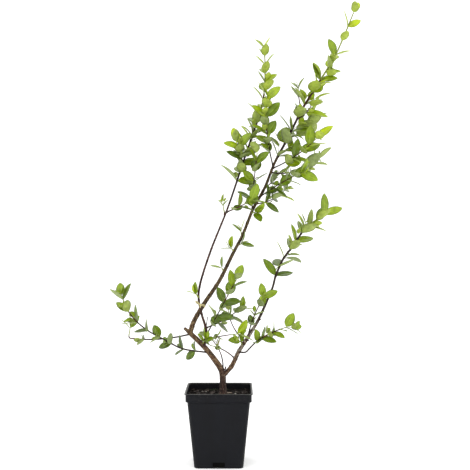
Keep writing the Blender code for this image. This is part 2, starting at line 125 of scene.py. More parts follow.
GRAIN_DEPTH = 0.03 * MM
STREAK_WIDTH = 6 * MM
RUB_SIZE = 5 * MM               # of a rubbed patch on the lip
DUST_GRAIN = 1.6 * MM


def linear(code):
    """A linear colour from an sRGB hex value."""
    parts = [int(code[first:first + 2], 16) / 255 for first in (1, 3, 5)]
    return (*((part / 12.92 if part <= 0.04045 else ((part + 0.055) / 1.055) ** 2.4) for part in parts), 1)


def add_node(tree, kind, output, inputs=None, **settings):
    """Add one shader node and give back one of its outputs. An input takes a value, a hex colour or
    the socket that feeds it."""
    node = tree.nodes.new("ShaderNode" + kind)
    for name, value in settings.items():
        setattr(node, name, value)
    for name, value in (inputs or {}).items():
        if isinstance(value, bpy.types.NodeSocket):
            tree.links.new(node.inputs[name], value)
        else:
            node.inputs[name].default_value = linear(value) if isinstance(value, str) else value
    return node.outputs[output]


def new_finish(name, colour, roughness, ior=1.5, level=0.5):
    """A material with its tree."""
    material = bpy.data.materials.new(name)
    material.use_nodes = True
    shader = material.node_tree.nodes["Principled BSDF"]
    shader.inputs["Base Color"].default_value = linear(colour)
    shader.inputs["Roughness"].default_value = roughness
    shader.inputs["IOR"].default_value = ior
    shader.inputs["Specular IOR Level"].default_value = level
    return material, material.node_tree


def feed(tree, name, socket):
    """Lead a socket into an input of a finish's shader."""
    tree.links.new(tree.nodes["Principled BSDF"].inputs[name], socket)


def new_piece(name, mesh, finishes, replaced=()):
    """A piece of the plant in the scene, riding on the one body."""
    piece = bpy.data.objects.new(name, mesh)
    bpy.context.scene.collection.objects.link(piece)
    for finish in finishes:
        mesh.materials.append(finish)
    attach(piece, "root")
    if replaced:
        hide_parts(*replaced)
    return piece


def outline(half, corner):
    """The points of a square with round corners."""
    points = []
    for quarter in range(4):
        bisector = math.radians(90 * quarter + 45)
        for step in range(CORNER_SEGMENTS + 1):
            angle = math.radians(90 * (quarter + step / CORNER_SEGMENTS))
            points.append((math.copysign(half - corner, math.cos(bisector)) + corner * math.cos(angle),
                           math.copysign(half - corner, math.sin(bisector)) + corner * math.sin(angle)))
    return points


def round_profile(points, radii, steps=4):
    """A profile with its inner corners turned into arcs, as the mould's are."""
    rounded = [points[0]]
    for before, here, after, radius in zip(points, points[1:], points[2:], radii):
        back, ahead = (before - here).normalized(), (after - here).normalized()
        half_angle = back.angle(ahead) / 2
        reach = min(radius / math.tan(half_angle), (before - here).length / 2.1, (after - here).length / 2.1)
        centre = here + (back + ahead).normalized() * reach / math.cos(half_angle)
        first, last = here + back * reach - centre, here + ahead * reach - centre
        for step in range(steps + 1):
            rounded.append(centre + first.slerp(last, step / steps).normalized() * first.length)
    rounded.append(points[-1])
    return rounded


def add_ring(bm, before, points):
    """Add a ring of corners, joined to the ring before it."""
    ring = [bm.verts.new(point) for point in points]
    if before:
        for index, vert in enumerate(ring):
            bm.faces.new((before[index - 1], before[index], vert, ring[index - 1]))
    return ring


def mesh_from(name, bm, smooth=True):
    bmesh.ops.recalc_face_normals(bm, faces=bm.faces)
    mesh = bpy.data.meshes.new(name)
    bm.to_mesh(mesh)
    bm.free()
    if smooth:
        mesh.shade_smooth()
    return mesh


def cut_away(piece, mesh, place, turn=0.0):
    """Cut a hole with a mesh, and apply it."""
    cutter = bpy.data.objects.new("cutter", mesh)
    bpy.context.scene.collection.objects.link(cutter)
    cutter.location = place
    cutter.rotation_euler.z = turn
    hole = piece.modifiers.new("Hole", "BOOLEAN")
    hole.operation = "DIFFERENCE"
    hole.object = cutter
    bpy.context.view_layer.update()
    graph = bpy.context.evaluated_depsgraph_get()
    piece.data = bpy.data.meshes.new_from_object(piece.evaluated_get(graph))
    piece.modifiers.clear()
    bpy.data.objects.remove(cutter, do_unlink=True)


def pot_profile():
    """Half width and height, from the middle of the underside over the lip to the middle of the floor."""
    band_foot = POT_HEIGHT - BAND_HEIGHT
    lip_foot = POT_HEIGHT - LIP_HEIGHT
    outer = [(BASE_WIDTH / 2, 0), (BODY_WIDTH / 2, band_foot - SHOULDER_RISE), (BAND_WIDTH / 2, band_foot),
             (BAND_WIDTH / 2, lip_foot), (LIP_WIDTH / 2, lip_foot + LIP_SLOPE), (LIP_WIDTH / 2, POT_HEIGHT)]
    inner = [(LIP_WIDTH / 2 - POT_WALL - LIP_SLOPE, POT_HEIGHT), (BAND_WIDTH / 2 - POT_WALL, lip_foot),
             (BAND_WIDTH / 2 - POT_WALL, band_foot + POT_WALL / 2),
             (BODY_WIDTH / 2 - POT_WALL, band_foot - SHOULDER_RISE), (BASE_WIDTH / 2 - POT_WALL, POT_WALL)]
    corners = [Vector((CORNER_RADIUS, 0)), *map(Vector, outer + inner), Vector((CORNER_RADIUS, POT_WALL))]
    radii = [FOOT_ROUND, *[EDGE_ROUND] * (len(outer) + len(inner) - 2), FOOT_ROUND - POT_WALL / 2]
    return round_profile(corners, radii)


bm = bmesh.new()
ring = None
first_ring = None
for half, height in pot_profile():
    corner = min(CORNER_RADIUS, half * 0.9)
    ring = add_ring(bm, ring, [(x, y, height) for x, y in outline(half, corner)])
    first_ring = first_ring or ring
bm.faces.new(first_ring)
bm.faces.new(ring)

# Polypropylene, moulded black in a lightly grained tool: a dull sheen, with faint streaks drawn down
# the walls, a little dried soil under the lip, and upward faces painted a lighter grey, partly rubbed
# patches of wear and partly a painted highlight from the light above.
polypropylene, tree = new_finish("moulded black polypropylene", "#0b0c10", 0.45, 1.49, 0.16)
place = add_node(tree, "TexCoord", "Object")
drawn = add_node(tree, "Mapping", "Vector", {"Vector": place, "Scale": (1, 1, 0.08)})
patterns = []                   # a noise's blotches are about a size across at a scale of half per size
for spot, size, detail, rough in ((place, MOULD_GRAIN, 2, 0.55), (drawn, STREAK_WIDTH, 4, 0.55),
                                  (place, RUB_SIZE, 4, 0.55), (place, DUST_GRAIN, 6, 0.7)):
    patterns.append(add_node(tree, "TexNoise", "Fac", {
        "Vector": spot, "Scale": 0.5 / size, "Detail": detail, "Roughness": rough}))
grain, streaks, rubs, dust = patterns
height = add_node(tree, "SeparateXYZ", "Z", {"Vector": place})
upward = add_node(tree, "SeparateXYZ", "Z", {"Vector": add_node(tree, "NewGeometry", "Normal")})
masks = []
for value, low, high, least, most in (
        (streaks, 0.35, 0.65, 0, 1), (streaks, 0.3, 0.7, 0.36, 0.5),
        (upward, 0.35, 0.9, 0, 1), (rubs, 0.3, 0.6, 0.35, 1),
        (height, POT_HEIGHT - 1.2 * BAND_HEIGHT, POT_HEIGHT, 0, 0.5), (dust, 0.54, 0.68, 0, 1)):
    masks.append(add_node(tree, "MapRange", "Result", {
        "Value": value, "From Min": low, "From Max": high, "To Min": least, "To Max": most}))
streaked, dullness, lit_from_above, worn, near_lip, dusty = masks
rubbed_and_lit = add_node(tree, "Math", "Value", {0: lit_from_above, 1: worn}, operation="MULTIPLY")
soiled = add_node(tree, "Math", "Value", {0: near_lip, 1: dusty}, operation="MULTIPLY")
# Upward faces get a painted highlight in lighter grey, broken into rubbed patches of wear.
colour = "#07080d"
for share, layer in ((streaked, "#0b0d13"), (rubbed_and_lit, "#64645f"), (soiled, "#47443f")):
    colour = add_node(tree, "Mix", 2, {0: share, 6: colour, 7: layer}, data_type="RGBA")
feed(tree, "Base Color", colour)
feed(tree, "Roughness", dullness)
feed(tree, "Normal", add_node(tree, "Bump", "Normal", {
    "Height": grain, "Distance": GRAIN_DEPTH, "Strength": 1}))

pot = new_piece("nursery_pot", mesh_from("nursery_pot", bm), [polypropylene], ["pot"])
for quarter in range(4):
    turn = math.radians(90 * quarter)
    outward = Vector((math.sin(turn), -math.cos(turn), 0))
    bm = bmesh.new()
    bmesh.ops.create_cube(bm, size=1)
    bmesh.ops.scale(bm, vec=(SLOT_WIDTH, SLOT_DEPTH, SLOT_HEIGHT), verts=bm.verts)
    upright = [edge for edge in bm.edges if abs((edge.verts[0].co - edge.verts[1].co).y) > SLOT_DEPTH / 2]
    bmesh.ops.bevel(bm, geom=upright, offset=SLOT_ROUND, segments=4, affect="EDGES", profile=0.5)
    cut_away(pot, mesh_from("slot", bm, False),
             outward * BASE_WIDTH / 2 + Vector((0, 0, SLOT_SILL + SLOT_HEIGHT / 2)), turn)
    bm = bmesh.new()
    bmesh.ops.create_cone(bm, cap_ends=True, segments=24, radius1=DRAIN_RADIUS, radius2=DRAIN_RADIUS,
                          depth=4 * POT_WALL)
    cut_away(pot, mesh_from("drain", bm, False),
             (math.copysign(DRAIN_OFFSET, outward.x + outward.y),
              math.copysign(DRAIN_OFFSET, outward.y - outward.x), 0))
pot.data.set_sharp_from_angle(angle=math.radians(35))

# ================================================================ the compost
# Damp peat and composted bark, level 9 mm under the lip. The block of the frame stays, and a crust
# of crumbs, bark chips, bits of dry wood, pale perlite and a little moss lies on it.

SOIL_TOP = 91 * MM
SOIL_HALF = BAND_WIDTH / 2 - POT_WALL - 0.4 * MM
CRUST_STEP = 0.8 * MM
CRUST_RISE = 1.3 * MM
CRUST_LUMPS = ((9, 1), (3.4, 0.45), (1.3, 0.25))   # mm across, and how high to the largest
CRUST_SKIRT = 1.0 * MM          # how far its edge goes down into the compost
MOUND_WIDTH = 9 * MM            # of the rise round the trunk
FULL_TURN = 6.28                # radians
THIRD_TURN = 2.09
WALL_CLEAR = 1.5 * MM           # what scraps keep from the walls, flakes too, and from the trunk
FLAKE_CLEAR = 6 * MM
ROOT_CLEAR = 6.2 * MM
MOSS_CLEAR = 6 * MM
BLADE_HALF = 0.32 * MM          # of the moss
PEAT_GRAIN = 1.1 * MM
PEAT_RISE = 0.5 * MM
ALGAE_SIZE = 9 * MM             # of a green patch
TRUNK_FOOT = Vector((5, 0, 91.3)) * MM


def crust_height(x, y):
    """How far the crust stands over the level of the compost."""
    spot = Vector((x, y, 0)) / MM
    rise = sum(share * noise.noise(spot / size) for size, share in CRUST_LUMPS)
    near_trunk = math.exp(-(Vector((x, y)) - TRUNK_FOOT.xy).length / MOUND_WIDTH)
    return SOIL_TOP + CRUST_RISE * (0.25 + 0.5 * rise + 0.9 * near_trunk)


def scrap(bm, place, size, rng, flat, long, index, yaw=None):
    """One crumb or chip: a small lump with a few uneven faces, lying at any turn."""
    before = len(bm.verts)
    bmesh.ops.create_icosphere(bm, subdivisions=1, radius=0.5)
    bm.verts.ensure_lookup_table()
    turn = Quaternion(Vector((0, 0, 1)), rng.uniform(0, FULL_TURN) if yaw is None else yaw)
    tip = Quaternion(Vector((rng.uniform(-1, 1), rng.uniform(-1, 1), 0.3)).normalized(),
                     rng.uniform(-0.5, 0.5))
    verts = bm.verts[before:]
    for vert in verts:
        point = vert.co * rng.uniform(0.75, 1.2)
        point = Vector((point.x * long, point.y, point.z * flat)) * size
        point.rotate(turn)
        point.rotate(tip)
        vert.co = place + point
    for face in {face for vert in verts for face in vert.link_faces}:
        face.material_index = index


# Damp peat: nearly black and without shine, crumbly, with a green bloom of algae in patches. Below
# 80 mm it is painted darker, to black at 30 mm: painted shade deep in the pot, where it shows in the drain
# slots.
soil, tree = new_finish("damp peat and bark", "#221c18", 0.9, 1.5, 0.12)
place = add_node(tree, "TexCoord", "Object")
peat = add_node(tree, "TexNoise", "Fac", {
    "Vector": place, "Scale": 0.5 / PEAT_GRAIN, "Detail": 6, "Roughness": 0.7})
patches = add_node(tree, "TexNoise", "Fac", {
    "Vector": place, "Scale": 0.5 / ALGAE_SIZE, "Detail": 4, "Roughness": 0.55})
height = add_node(tree, "SeparateXYZ", "Z", {"Vector": place})
colour = "#0b0908"
# The layer by height is painted shade: the peat goes black low in the pot.
for value, low, high, most, layer in ((peat, 0.35, 0.65, 1, "#1f1814"),
                                      (height, 80 * MM, 30 * MM, 1, "#040303"),
                                      (patches, 0.55, 0.7, 0.5, "#12160e")):
    share = add_node(tree, "MapRange", "Result", {
        "Value": value, "From Min": low, "From Max": high, "To Max": most})
    colour = add_node(tree, "Mix", 2, {0: share, 6: colour, 7: layer}, data_type="RGBA")
feed(tree, "Base Color", colour)
feed(tree, "Normal", add_node(tree, "Bump", "Normal", {"Height": peat, "Distance": PEAT_RISE, "Strength": 1}))
for slot in frame["nodes"]["compost"].material_slots:
    slot.material = soil

# Composted bark is dull brown fibre, a little lighter than the peat. Dry wood is pale and grey and
# catches the eye. Perlite is off-white, matt and full of pores. Moss is a deep soft green.
scrap_finishes = []
for name, roughness, grain, detail, rough, dark, pale, depth in (
        ("composted bark chip", 0.85, 0.7, 5, 0.7, "#150f0b", "#3a2a1f", 0.3),
        ("dry wood chip", 0.8, 0.6, 5, 0.55, "#6f5d4d", "#a8998a", 0),
        ("expanded perlite", 0.75, 0.4, 3, 0.55, "#8f8a80", "#cfcbc2", 0.2),
        ("cushion moss", 0.85, 0.8, 4, 0.55, "#141c0e", "#2f3d1c", 0)):
    finish, tree = new_finish(name, pale, roughness)
    fibre = add_node(tree, "TexNoise", "Fac", {
        "Vector": add_node(tree, "TexCoord", "Object"), "Scale": 0.5 / (grain * MM), "Detail": detail,
        "Roughness": rough})
    feed(tree, "Base Color", add_node(tree, "Mix", 2, {0: fibre, 6: dark, 7: pale}, data_type="RGBA"))
    if depth:
        feed(tree, "Normal", add_node(tree, "Bump", "Normal", {
            "Height": fibre, "Distance": depth * MM, "Strength": 1}))
    scrap_finishes.append(finish)
bark_chip, pale_chip, perlite, moss = scrap_finishes

rng = random.Random("compost")
bm = bmesh.new()
steps = round(2 * SOIL_HALF / CRUST_STEP)
grid = []
for row in range(steps + 1):
    y = SOIL_HALF * (2 * row / steps - 1)
    line = []
    for column in range(steps + 1):
        x = SOIL_HALF * (2 * column / steps - 1)
        corner = Vector((max(0, abs(x) - SOIL_HALF + CORNER_RADIUS),
                         max(0, abs(y) - SOIL_HALF + CORNER_RADIUS)))
        shift = max(0, corner.length - CORNER_RADIUS) / max(corner.length, MM)
        spot = (x - math.copysign(corner.x * shift, x), y - math.copysign(corner.y * shift, y))
        line.append(bm.verts.new((*spot, crust_height(*spot))))
    grid.append(line)
for below, above in zip(grid, grid[1:]):
    for column in range(steps):
        bm.faces.new((below[column], below[column + 1], above[column + 1], above[column]))
rim = [edge for edge in bm.edges if edge.is_boundary]
skirt = bmesh.ops.extrude_edge_only(bm, edges=rim)["geom"]
for vert in skirt:
    if isinstance(vert, bmesh.types.BMVert):
        vert.co.z = SOIL_TOP - CRUST_SKIRT
bmesh.ops.holes_fill(bm, edges=[edge for edge in bm.edges if edge.is_boundary], sides=0)
new_piece("compost_crust", mesh_from("compost_crust", bm), [soil])


def scatter(bm, count, sizes, rng, flat, long, index, centre=(0, 0), reach=SOIL_HALF - WALL_CLEAR):
    """Lay scraps on the crust, clear of the walls and the trunk."""
    for _ in range(count):
        x = centre[0] + rng.uniform(-reach, reach)
        y = centre[1] + rng.uniform(-reach, reach)
        size = rng.uniform(*sizes) * MM
        if (Vector((x, y)) - TRUNK_FOOT.xy).length > ROOT_CLEAR:
            scrap(bm, Vector((x, y, crust_height(x, y) + size * flat * 0.2)), size, rng, flat, long, index)


# Crumbs of peat, bark chips, flat flakes of bark, bits of dry wood, loose perlite and two clusters of
# it: how many, their sizes in mm, thickness and length beside the width, finish and where they lie.
bm = bmesh.new()
scatter(bm, 760, (0.8, 2.6), rng, 0.7, 1.3, 0)
scatter(bm, 70, (2.2, 5.0), rng, 0.3, 1.8, 1)
scatter(bm, 26, (4, 9), rng, 0.14, 0.9, 1, reach=SOIL_HALF - FLAKE_CLEAR)
scatter(bm, 6, (1.8, 3.2), rng, 0.25, 2.2, 2, reach=SOIL_HALF - FLAKE_CLEAR)
scatter(bm, 9, (0.8, 1.5), rng, 0.8, 1.1, 3)
scatter(bm, 6, (1.1, 2.0), rng, 0.8, 1.1, 3, (-21.5 * MM, 23 * MM), 4 * MM)
scatter(bm, 2, (1.5, 2.2), rng, 1.0, 1.0, 3, (22.3 * MM, 3.5 * MM), 1.2 * MM)
# One long pale bit of wood lies just right of the trunk.
scrap(bm, Vector((14.0, 2.0, 93.6)) * MM, 4.2 * MM, random.Random(4), 0.45, 2.4, 2, 0.12)
new_piece("compost_crumbs", mesh_from("compost_crumbs", bm, False), [soil, bark_chip, pale_chip, perlite])

# Tufts of moss, each of short leaning blades: where, how far it spreads in mm, and how many blades.
bm = bmesh.new()
for centre, reach, count in (((-9, 34), 7, 160), ((8, 36), 5, 90), ((-3, -5), 4, 50), ((29, -20), 6, 60)):
    for _ in range(count):
        offset = Vector((rng.gauss(0, reach / 2), rng.gauss(0, reach / 2)))
        x, y = ((Vector(centre) + offset) * MM).to_tuple()
        from_trunk = (Vector((x, y)) - TRUNK_FOOT.xy).length
        if max(abs(x), abs(y)) > SOIL_HALF - WALL_CLEAR or from_trunk < MOSS_CLEAR:
            continue
        tall = rng.uniform(1.2, 2.6) * MM
        foot = Vector((x, y, crust_height(x, y) - 0.3 * MM))
        lean = Vector((rng.uniform(-0.5, 0.5), rng.uniform(-0.5, 0.5), 1)).normalized() * tall
        turn = rng.uniform(0, FULL_TURN)
        sides = [Vector((math.cos(turn + k * THIRD_TURN), math.sin(turn + k * THIRD_TURN), 0)) * BLADE_HALF
                 for k in range(3)]
        ring = [bm.verts.new(foot + lean * 0.5 + side) for side in sides]
        low, high = bm.verts.new(foot), bm.verts.new(foot + lean)
        for k in range(3):
            bm.faces.new((low, ring[k - 1], ring[k]))
            bm.faces.new((high, ring[k], ring[k - 1]))
new_piece("moss_tufts", mesh_from("moss_tufts", bm, False), [moss])

# ================================================================ the stems
# One rule of growth makes every stem. A limb follows a smooth line through a few places, and a side
# twig is an arc that leaves its parent at a height. All sizes in the tables are in millimetres.

GAP = 0.3 * MM
PATH_STEP = 10 * MM
TWIG_FOOT_RADIUS = 0.85 * MM
TWIG_TIP_RADIUS = 0.5 * MM

Line = namedtuple("Line", "lower upper split route radii")
LINES = (
    Line("trunk", "low_bough", 122.5,
         ((5, 0, 91.3), (5, 0, 96), (5, 0, 108), (4, 0, 122), (-6, -3, 139), (-22, -6, 159),
          (-39, -6, 175), (-46, -6, 181)),
         (6.6, 4.8, 4.2, 4.3, 3.7, 3.4, 3.2, 1.3)),
    Line("right_bough", "right_crown_shoot", 246,
         ((5, 0, 117), (17, 2, 130), (26, 8, 148), (38, 14, 166), (52, 20, 188), (65, 27, 215),
          (74, 32, 236), (77, 34, 248), (88, 38, 273), (101, 42, 290), (121, 46, 318), (141, 50, 331),
          (146, 51, 336)),
         (2.9, 2.8, 2.6, 2.4, 1.9, 1.5, 1.4, 1.4, 1.3, 1.2, 1.0, 0.8, 0.5)),
    Line("tall_bough", "crown_shoot", 407,
         ((-39, -6, 175), (-34, -3, 191), (-20, 4, 215), (0, 10, 245), (18, 14, 281), (32, 16, 308),
          (46, 16, 343), (62, 14, 372), (75, 10, 405), (93, 4, 439), (112, -4, 477), (132, -12, 509),
          (152, -24, 541), (164, -32, 567), (176, -40, 597)),
         (3.1, 3.0, 2.7, 2.4, 2.1, 2.0, 1.9, 1.8, 1.6, 1.4, 1.2, 1.0, 0.8, 0.65, 0.5)),
    Line("slender_stem", "left_crown_shoot", 343,
         ((-20, -6, 158), (-17, -14, 179), (-22, -16, 198), (-27, -15, 221), (-25, -12, 243),
          (-11, -7, 287), (10, 2, 340), (24, 10, 381), (34, 16, 412), (46, 22, 447), (56, 28, 476),
          (62, 32, 509), (63, 34, 542), (62, 34, 568)),
         (1.8, 1.6, 1.5, 1.45, 1.4, 1.35, 1.2, 1.15, 1.1, 1.0, 0.9, 0.75, 0.6, 0.5)),
    Line("low_arm_shoot", None, None,
         ((-14, -4, 149), (-35, -16, 153), (-52, -24, 158), (-70, -32, 169), (-89, -38, 180),
          (-106, -44, 194), (-116, -47, 207), (-122, -49, 216), (-123, -50, 223)),
         (1.0, 0.95, 0.95, 0.9, 0.85, 0.8, 0.7, 0.6, 0.5)),
    Line("high_arm_shoot", None, None,
         ((-38, -6, 174), (-63, 4, 168), (-95, 16, 164), (-125, 24, 166), (-124, 26, 178)),
         (1.0, 0.95, 0.9, 0.8, 0.5)),
    Line("low_right_shoot", None, None,
         ((26, 8, 148), (35, -2, 149), (52, -18, 167), (73, -29, 180), (88, -34, 186)),
         (1.0, 0.95, 0.9, 0.8, 0.5)),
)

# Pairs of leaves, the bare length before the first, its turn in degrees (0 is left and right), a
# leaf's length at the foot and the tip, and the share of the pairs with small leaves in their axils.
Leaves = namedtuple("Leaves", "pairs bare turn foot tip axils", defaults=(0,))
LINE_LEAVES = {
    "right_crown_shoot": Leaves(9, 4, 20, 29, 29, 0.9),
    "crown_shoot": Leaves(12, 8, 0, 34, 19, 0.9),
    "left_crown_shoot": Leaves(17, 40, 20, 29, 19, 0.8),
    "low_arm_shoot": Leaves(8, 20, 130, 18, 26, 0.8),
    "high_arm_shoot": Leaves(2, 70, 90, 15, 21),
    "low_right_shoot": Leaves(6, 40, 90, 18, 21, 0.6),
}

# A side twig leaves its parent at a height, with a lean from upright (clockwise, seen from the
# front), a curl over its length and a swing to the back, in degrees. The last word names the shoot
# that it forks from, if it is a fork.
Twig = namedtuple("Twig", "name parent height lean curl swing length leaves joined",
                  defaults=(None,))
TWIGS = [
    Twig("crown_right", "crown_shoot", 439, 76, -64, 32, 66, Leaves(5, 14, 90, 30, 27, 0.8), "crown_shoot"),
    Twig("crown_upper", "crown_shoot", 464, 66, -50, -18, 36, Leaves(3, 14, 0, 28, 26, 0.7), "crown_shoot"),
    Twig("crown_thin", "crown_shoot", 475, -14, 15, 18, 33, Leaves(2, 20, 60, 18, 17), "crown_shoot"),
    Twig("left_fork", "left_crown_shoot", 404, -7, -10, -18, 32, Leaves(4, 8, 0, 23, 23, 0.8),
         "left_crown_shoot"),
    Twig("left_inner", "left_crown_shoot", 428, 30, -40, 24, 32, Leaves(3, 10, 90, 21, 21, 0.5),
         "left_crown_shoot"),
    Twig("second_leader", "tall_bough", 401, -16, 19, -16, 92, Leaves(7, 20, 0, 25, 24, 0.6)),
    Twig("crown_mid", "tall_bough", 398, 69, -24, -23, 74, Leaves(5, 20, 90, 28, 27, 0.8)),
    Twig("crown_low", "tall_bough", 393, 99, -53, 29, 84, Leaves(6, 16, 0, 26, 27, 0.5)),
    Twig("crown_lowest", "tall_bough", 359, 54, 12, -28, 70, Leaves(6, 12, 90, 21, 23)),
    Twig("bough_spray", "tall_bough", 350, 85, -41, 23, 49, Leaves(4, 14, 0, 22, 22, 0.6)),
    Twig("inner_upright", "tall_bough", 339, 3, 4, -16, 82, Leaves(6, 16, 0, 25, 22, 0.8)),
    Twig("bough_spur", "tall_bough", 371, 54, -17, 37, 28, Leaves(2, 14, 0, 20, 20)),
    Twig("slender_right", "slender_stem", 338, 69, -7, -21, 40, Leaves(4, 10, 90, 17, 22)),
    Twig("slender_left", "slender_stem", 334, -11, 0, 19, 14, Leaves(1, 14, 0, 12, 12)),
    Twig("rise_twig", "slender_stem", 172, 28, 0, -20, 93, Leaves(7, 18, 90, 22, 22, 0.9)),
    Twig("level_twig", "slender_stem", 183, 71, -16, 24, 57, Leaves(5, 18, 0, 20, 20)),
    Twig("wavy_twig", "low_bough", 164, 72, 11, -11, 54, Leaves(2, 20, 90, 12, 23)),
    Twig("fork_twig", "trunk", 119, 11, -66, 19, 58, Leaves(2, 38, 0, 14, 15)),
    Twig("cross_twig", "right_bough", 139, -43, -36, -6, 40, Leaves(2, 24, 90, 13, 14)),
    Twig("back_twig", "right_bough", 162, -53, 47, 16, 50, Leaves(2, 36, 0, 14, 15)),
    Twig("inner_twig", "right_bough", 167, 11, 20, -12, 61, Leaves(4, 18, 90, 18, 19)),
]

# Eight short spurs end in one pair of leaves: height, lean, swing, length and the leaves' length.
for name, parent, height, lean, swing, length, leaf in (
        ("spur_low", "low_bough", 160, 30, -40, 9, 19),
        ("spur_right", "right_bough", 157, -30, -40, 8, 17),
        ("spur_slender", "slender_stem", 224, -38, -12, 5, 17),
        ("spur_1", "tall_bough", 257, -30, -10, 6, 17),
        ("spur_2", "tall_bough", 285, -46, -20, 6, 17),
        ("spur_3", "tall_bough", 292, 62, 10, 6, 18),
        ("spur_4", "tall_bough", 306, -16, 5, 6, 18),
        ("spur_5", "tall_bough", 338, 90, -45, 6, 20)):
    TWIGS.append(Twig(name, parent, height, lean, 0, swing, length, Leaves(1, length, 0, leaf, leaf)))


def smooth(points, radii, longest):
    """Places and radii along a Catmull-Rom curve through a few places, at steps up to a length."""
    points = [2 * points[0] - points[1], *points, 2 * points[-1] - points[-2]]
    path = []
    for index in range(len(radii) - 1):
        before, start, end, after = points[index:index + 4]
        steps = max(1, round((end - start).length / longest))
        for step in range(steps):
            t = step / steps
            place = (2 * start + (end - before) * t + (2 * before - 5 * start + 4 * end - after) * t ** 2
                     + (3 * start - before - 3 * end + after) * t ** 3) / 2
            path.append((place, radii[index] * (1 - t) + radii[index + 1] * t))
    path.append((points[-2], radii[-1]))
    return path


def split_path(path, height):
    """The stretches of a rising path below and above a height, a gap apart."""
    for index, ((start, thick), (end, thin)) in enumerate(zip(path, path[1:])):
        if start.z <= height < end.z:
            share = (height - start.z) / (end.z - start.z)
            half = GAP / 2 / (end - start).length
            radius = thick * (1 - share) + thin * share
            lower = path[:index + 1] + [(start.lerp(end, share - half), radius)]
            upper = [(start.lerp(end, share + half), radius)] + path[index + 1:]
            return lower, upper


def place_at_height(path, height):
    for (start, _), (end, _) in zip(path, path[1:]):
        if start.z <= height < end.z:
            return start.lerp(end, (height - start.z) / (end.z - start.z))


def place_along(path, distance):
    """The place at a distance along a path, and the heading there."""
    for (start, _), (end, _) in zip(path, path[1:]):
        step = (end - start).length
        if distance <= step:
            return start.lerp(end, distance / step), (end - start).normalized()
        distance -= step
    return end, (end - start).normalized()


def path_length(path):
    return sum((end - start).length for (start, _), (end, _) in zip(path, path[1:]))


def arc_path(twig, start):
    """A side twig's places and radii, from inside its parent."""
    steps = max(2, round(twig.length * MM / PATH_STEP))
    swing = math.radians(twig.swing)
    path = [(start, TWIG_FOOT_RADIUS)]
    for step in range(steps):
        lean = math.radians(twig.lean + twig.curl * (step + 0.5) / steps)
        heading = Vector((math.sin(lean) * math.cos(swing), math.sin(swing),
                          math.cos(lean) * math.cos(swing)))
        share = (step + 1) / steps
        radius = TWIG_FOOT_RADIUS * (1 - share) + TWIG_TIP_RADIUS * share
        path.append((path[-1][0] + heading * twig.length * MM / steps, radius))
    return path


paths = {}
whole_lines = {}
for line in LINES:
    path = smooth([Vector(point) * MM for point in line.route],
                  [radius * MM for radius in line.radii], PATH_STEP)
    whole_lines[line.lower] = path
    if line.split:
        paths[line.lower], paths[line.upper] = split_path(path, line.split * MM)
    else:
        paths[line.lower] = path
shoot_leaves = dict(LINE_LEAVES)
for twig in TWIGS:
    paths[twig.name] = arc_path(twig, place_at_height(paths[twig.parent], twig.height * MM))
    shoot_leaves[twig.name] = twig.leaves


def frames_along(path):
    """Each place of a path with its radius, its distance from the foot and its heading, side and back."""
    frames = []
    distance = 0.0
    side = Vector((1, 0, 0))
    for index, (place, radius) in enumerate(path):
        ahead = path[min(index + 1, len(path) - 1)][0]
        behind = path[max(index - 1, 0)][0]
        heading = (ahead - behind).normalized()
        side = (side - heading * side.dot(heading)).normalized()
        distance += (place - path[max(index - 1, 0)][0]).length
        frames.append((place, radius, distance, heading, side, heading.cross(side)))
    return frames


def add_tube(bm, frames, sides, swell=None, index_at=None):
    """A closed round stem. swell scales its radius by distance, and index_at gives its material there."""
    ring = None
    for place, radius, distance, heading, side, back in frames:
        radius *= swell(distance) if swell else 1
        points = []
        for step in range(sides):
            angle = 2 * math.pi * step / sides
            points.append(place + radius * (math.cos(angle) * side + math.sin(angle) * back))
        first = ring is None
        count = len(bm.faces)
        ring = add_ring(bm, ring, points)
        if first:
            bm.faces.new(ring)
        elif index_at:
            bm.faces.ensure_lookup_table()
            for face in bm.faces[count:]:
                face.material_index = index_at(distance)
    bm.faces.new(ring).material_index = index_at(distance) if index_at else 0


# ================================================================ the woody limbs
# Trunk, low bough, tall bough, right bough and slender stem, two to four years old. Their thin bark
# is brown and peels in narrow strips, and is still tight and purplish on the slender stem. Each has
# a swollen knot wherever a pair of leaves once stood, and short stubs where twigs were pruned.

WOOD_STEP = 1.2 * MM
WOOD_VOXEL = 0.36 * MM
WOOD_SIDES = 20
WOODY = {"trunk": 4, "right_bough": 12, "tall_bough": 16, "slender_stem": 18}   # knot spacing, mm
KNOT_HALF = 1.0 * MM
KNOT_SWELL = 0.16               # of the radius
LIMB_SWELL = 1.06
OVERRUN = 12 * MM               # how far a limb's wood runs on inside its leafy shoot
STRIP = 1.3 * MM                # width of a strip of bark
STRIP_STRETCH = 0.16            # its width to its length
STRIP_RISE = 0.5 * MM           # of its edges in the finish, beside those in the mesh
STRIP_SHADE = 2 / 3             # mm, width of a light or dark line in a strip
FLECK_WIDTH = 5 / 8             # mm
FLECK_SHORTNESS = 2.2           # a strip's length to a fleck's
LINE_WIDTH = 5 / 11             # mm, of the lines in young bark
LINE_RISE = 0.15 * MM
STRIP_RELIEF = 0.22             # mm, of the strips' edges in the mesh
FLAKE_RELIEF = 0.16
FINE_RELIEF = 0.04
FINE_GRAIN = 0.55 * MM
ROOT_RELIEF = 0.9
ROOT_LOBE = 5 * MM
ROOT_HEIGHT = 4 * MM            # how soon the root flare dies away
OLD_RADIUS = 4 * MM             # a limb as thick as this has the full relief
THIN_STUB = 1.2                 # mm, a stub thinner than this is dead and dark all over
STUB_SIDES = 12
STUB_SHAPE = ((0, 1.3), (0.4, 1.05), (0.85, 1), (1, 0.9))   # how far along, and how thick there
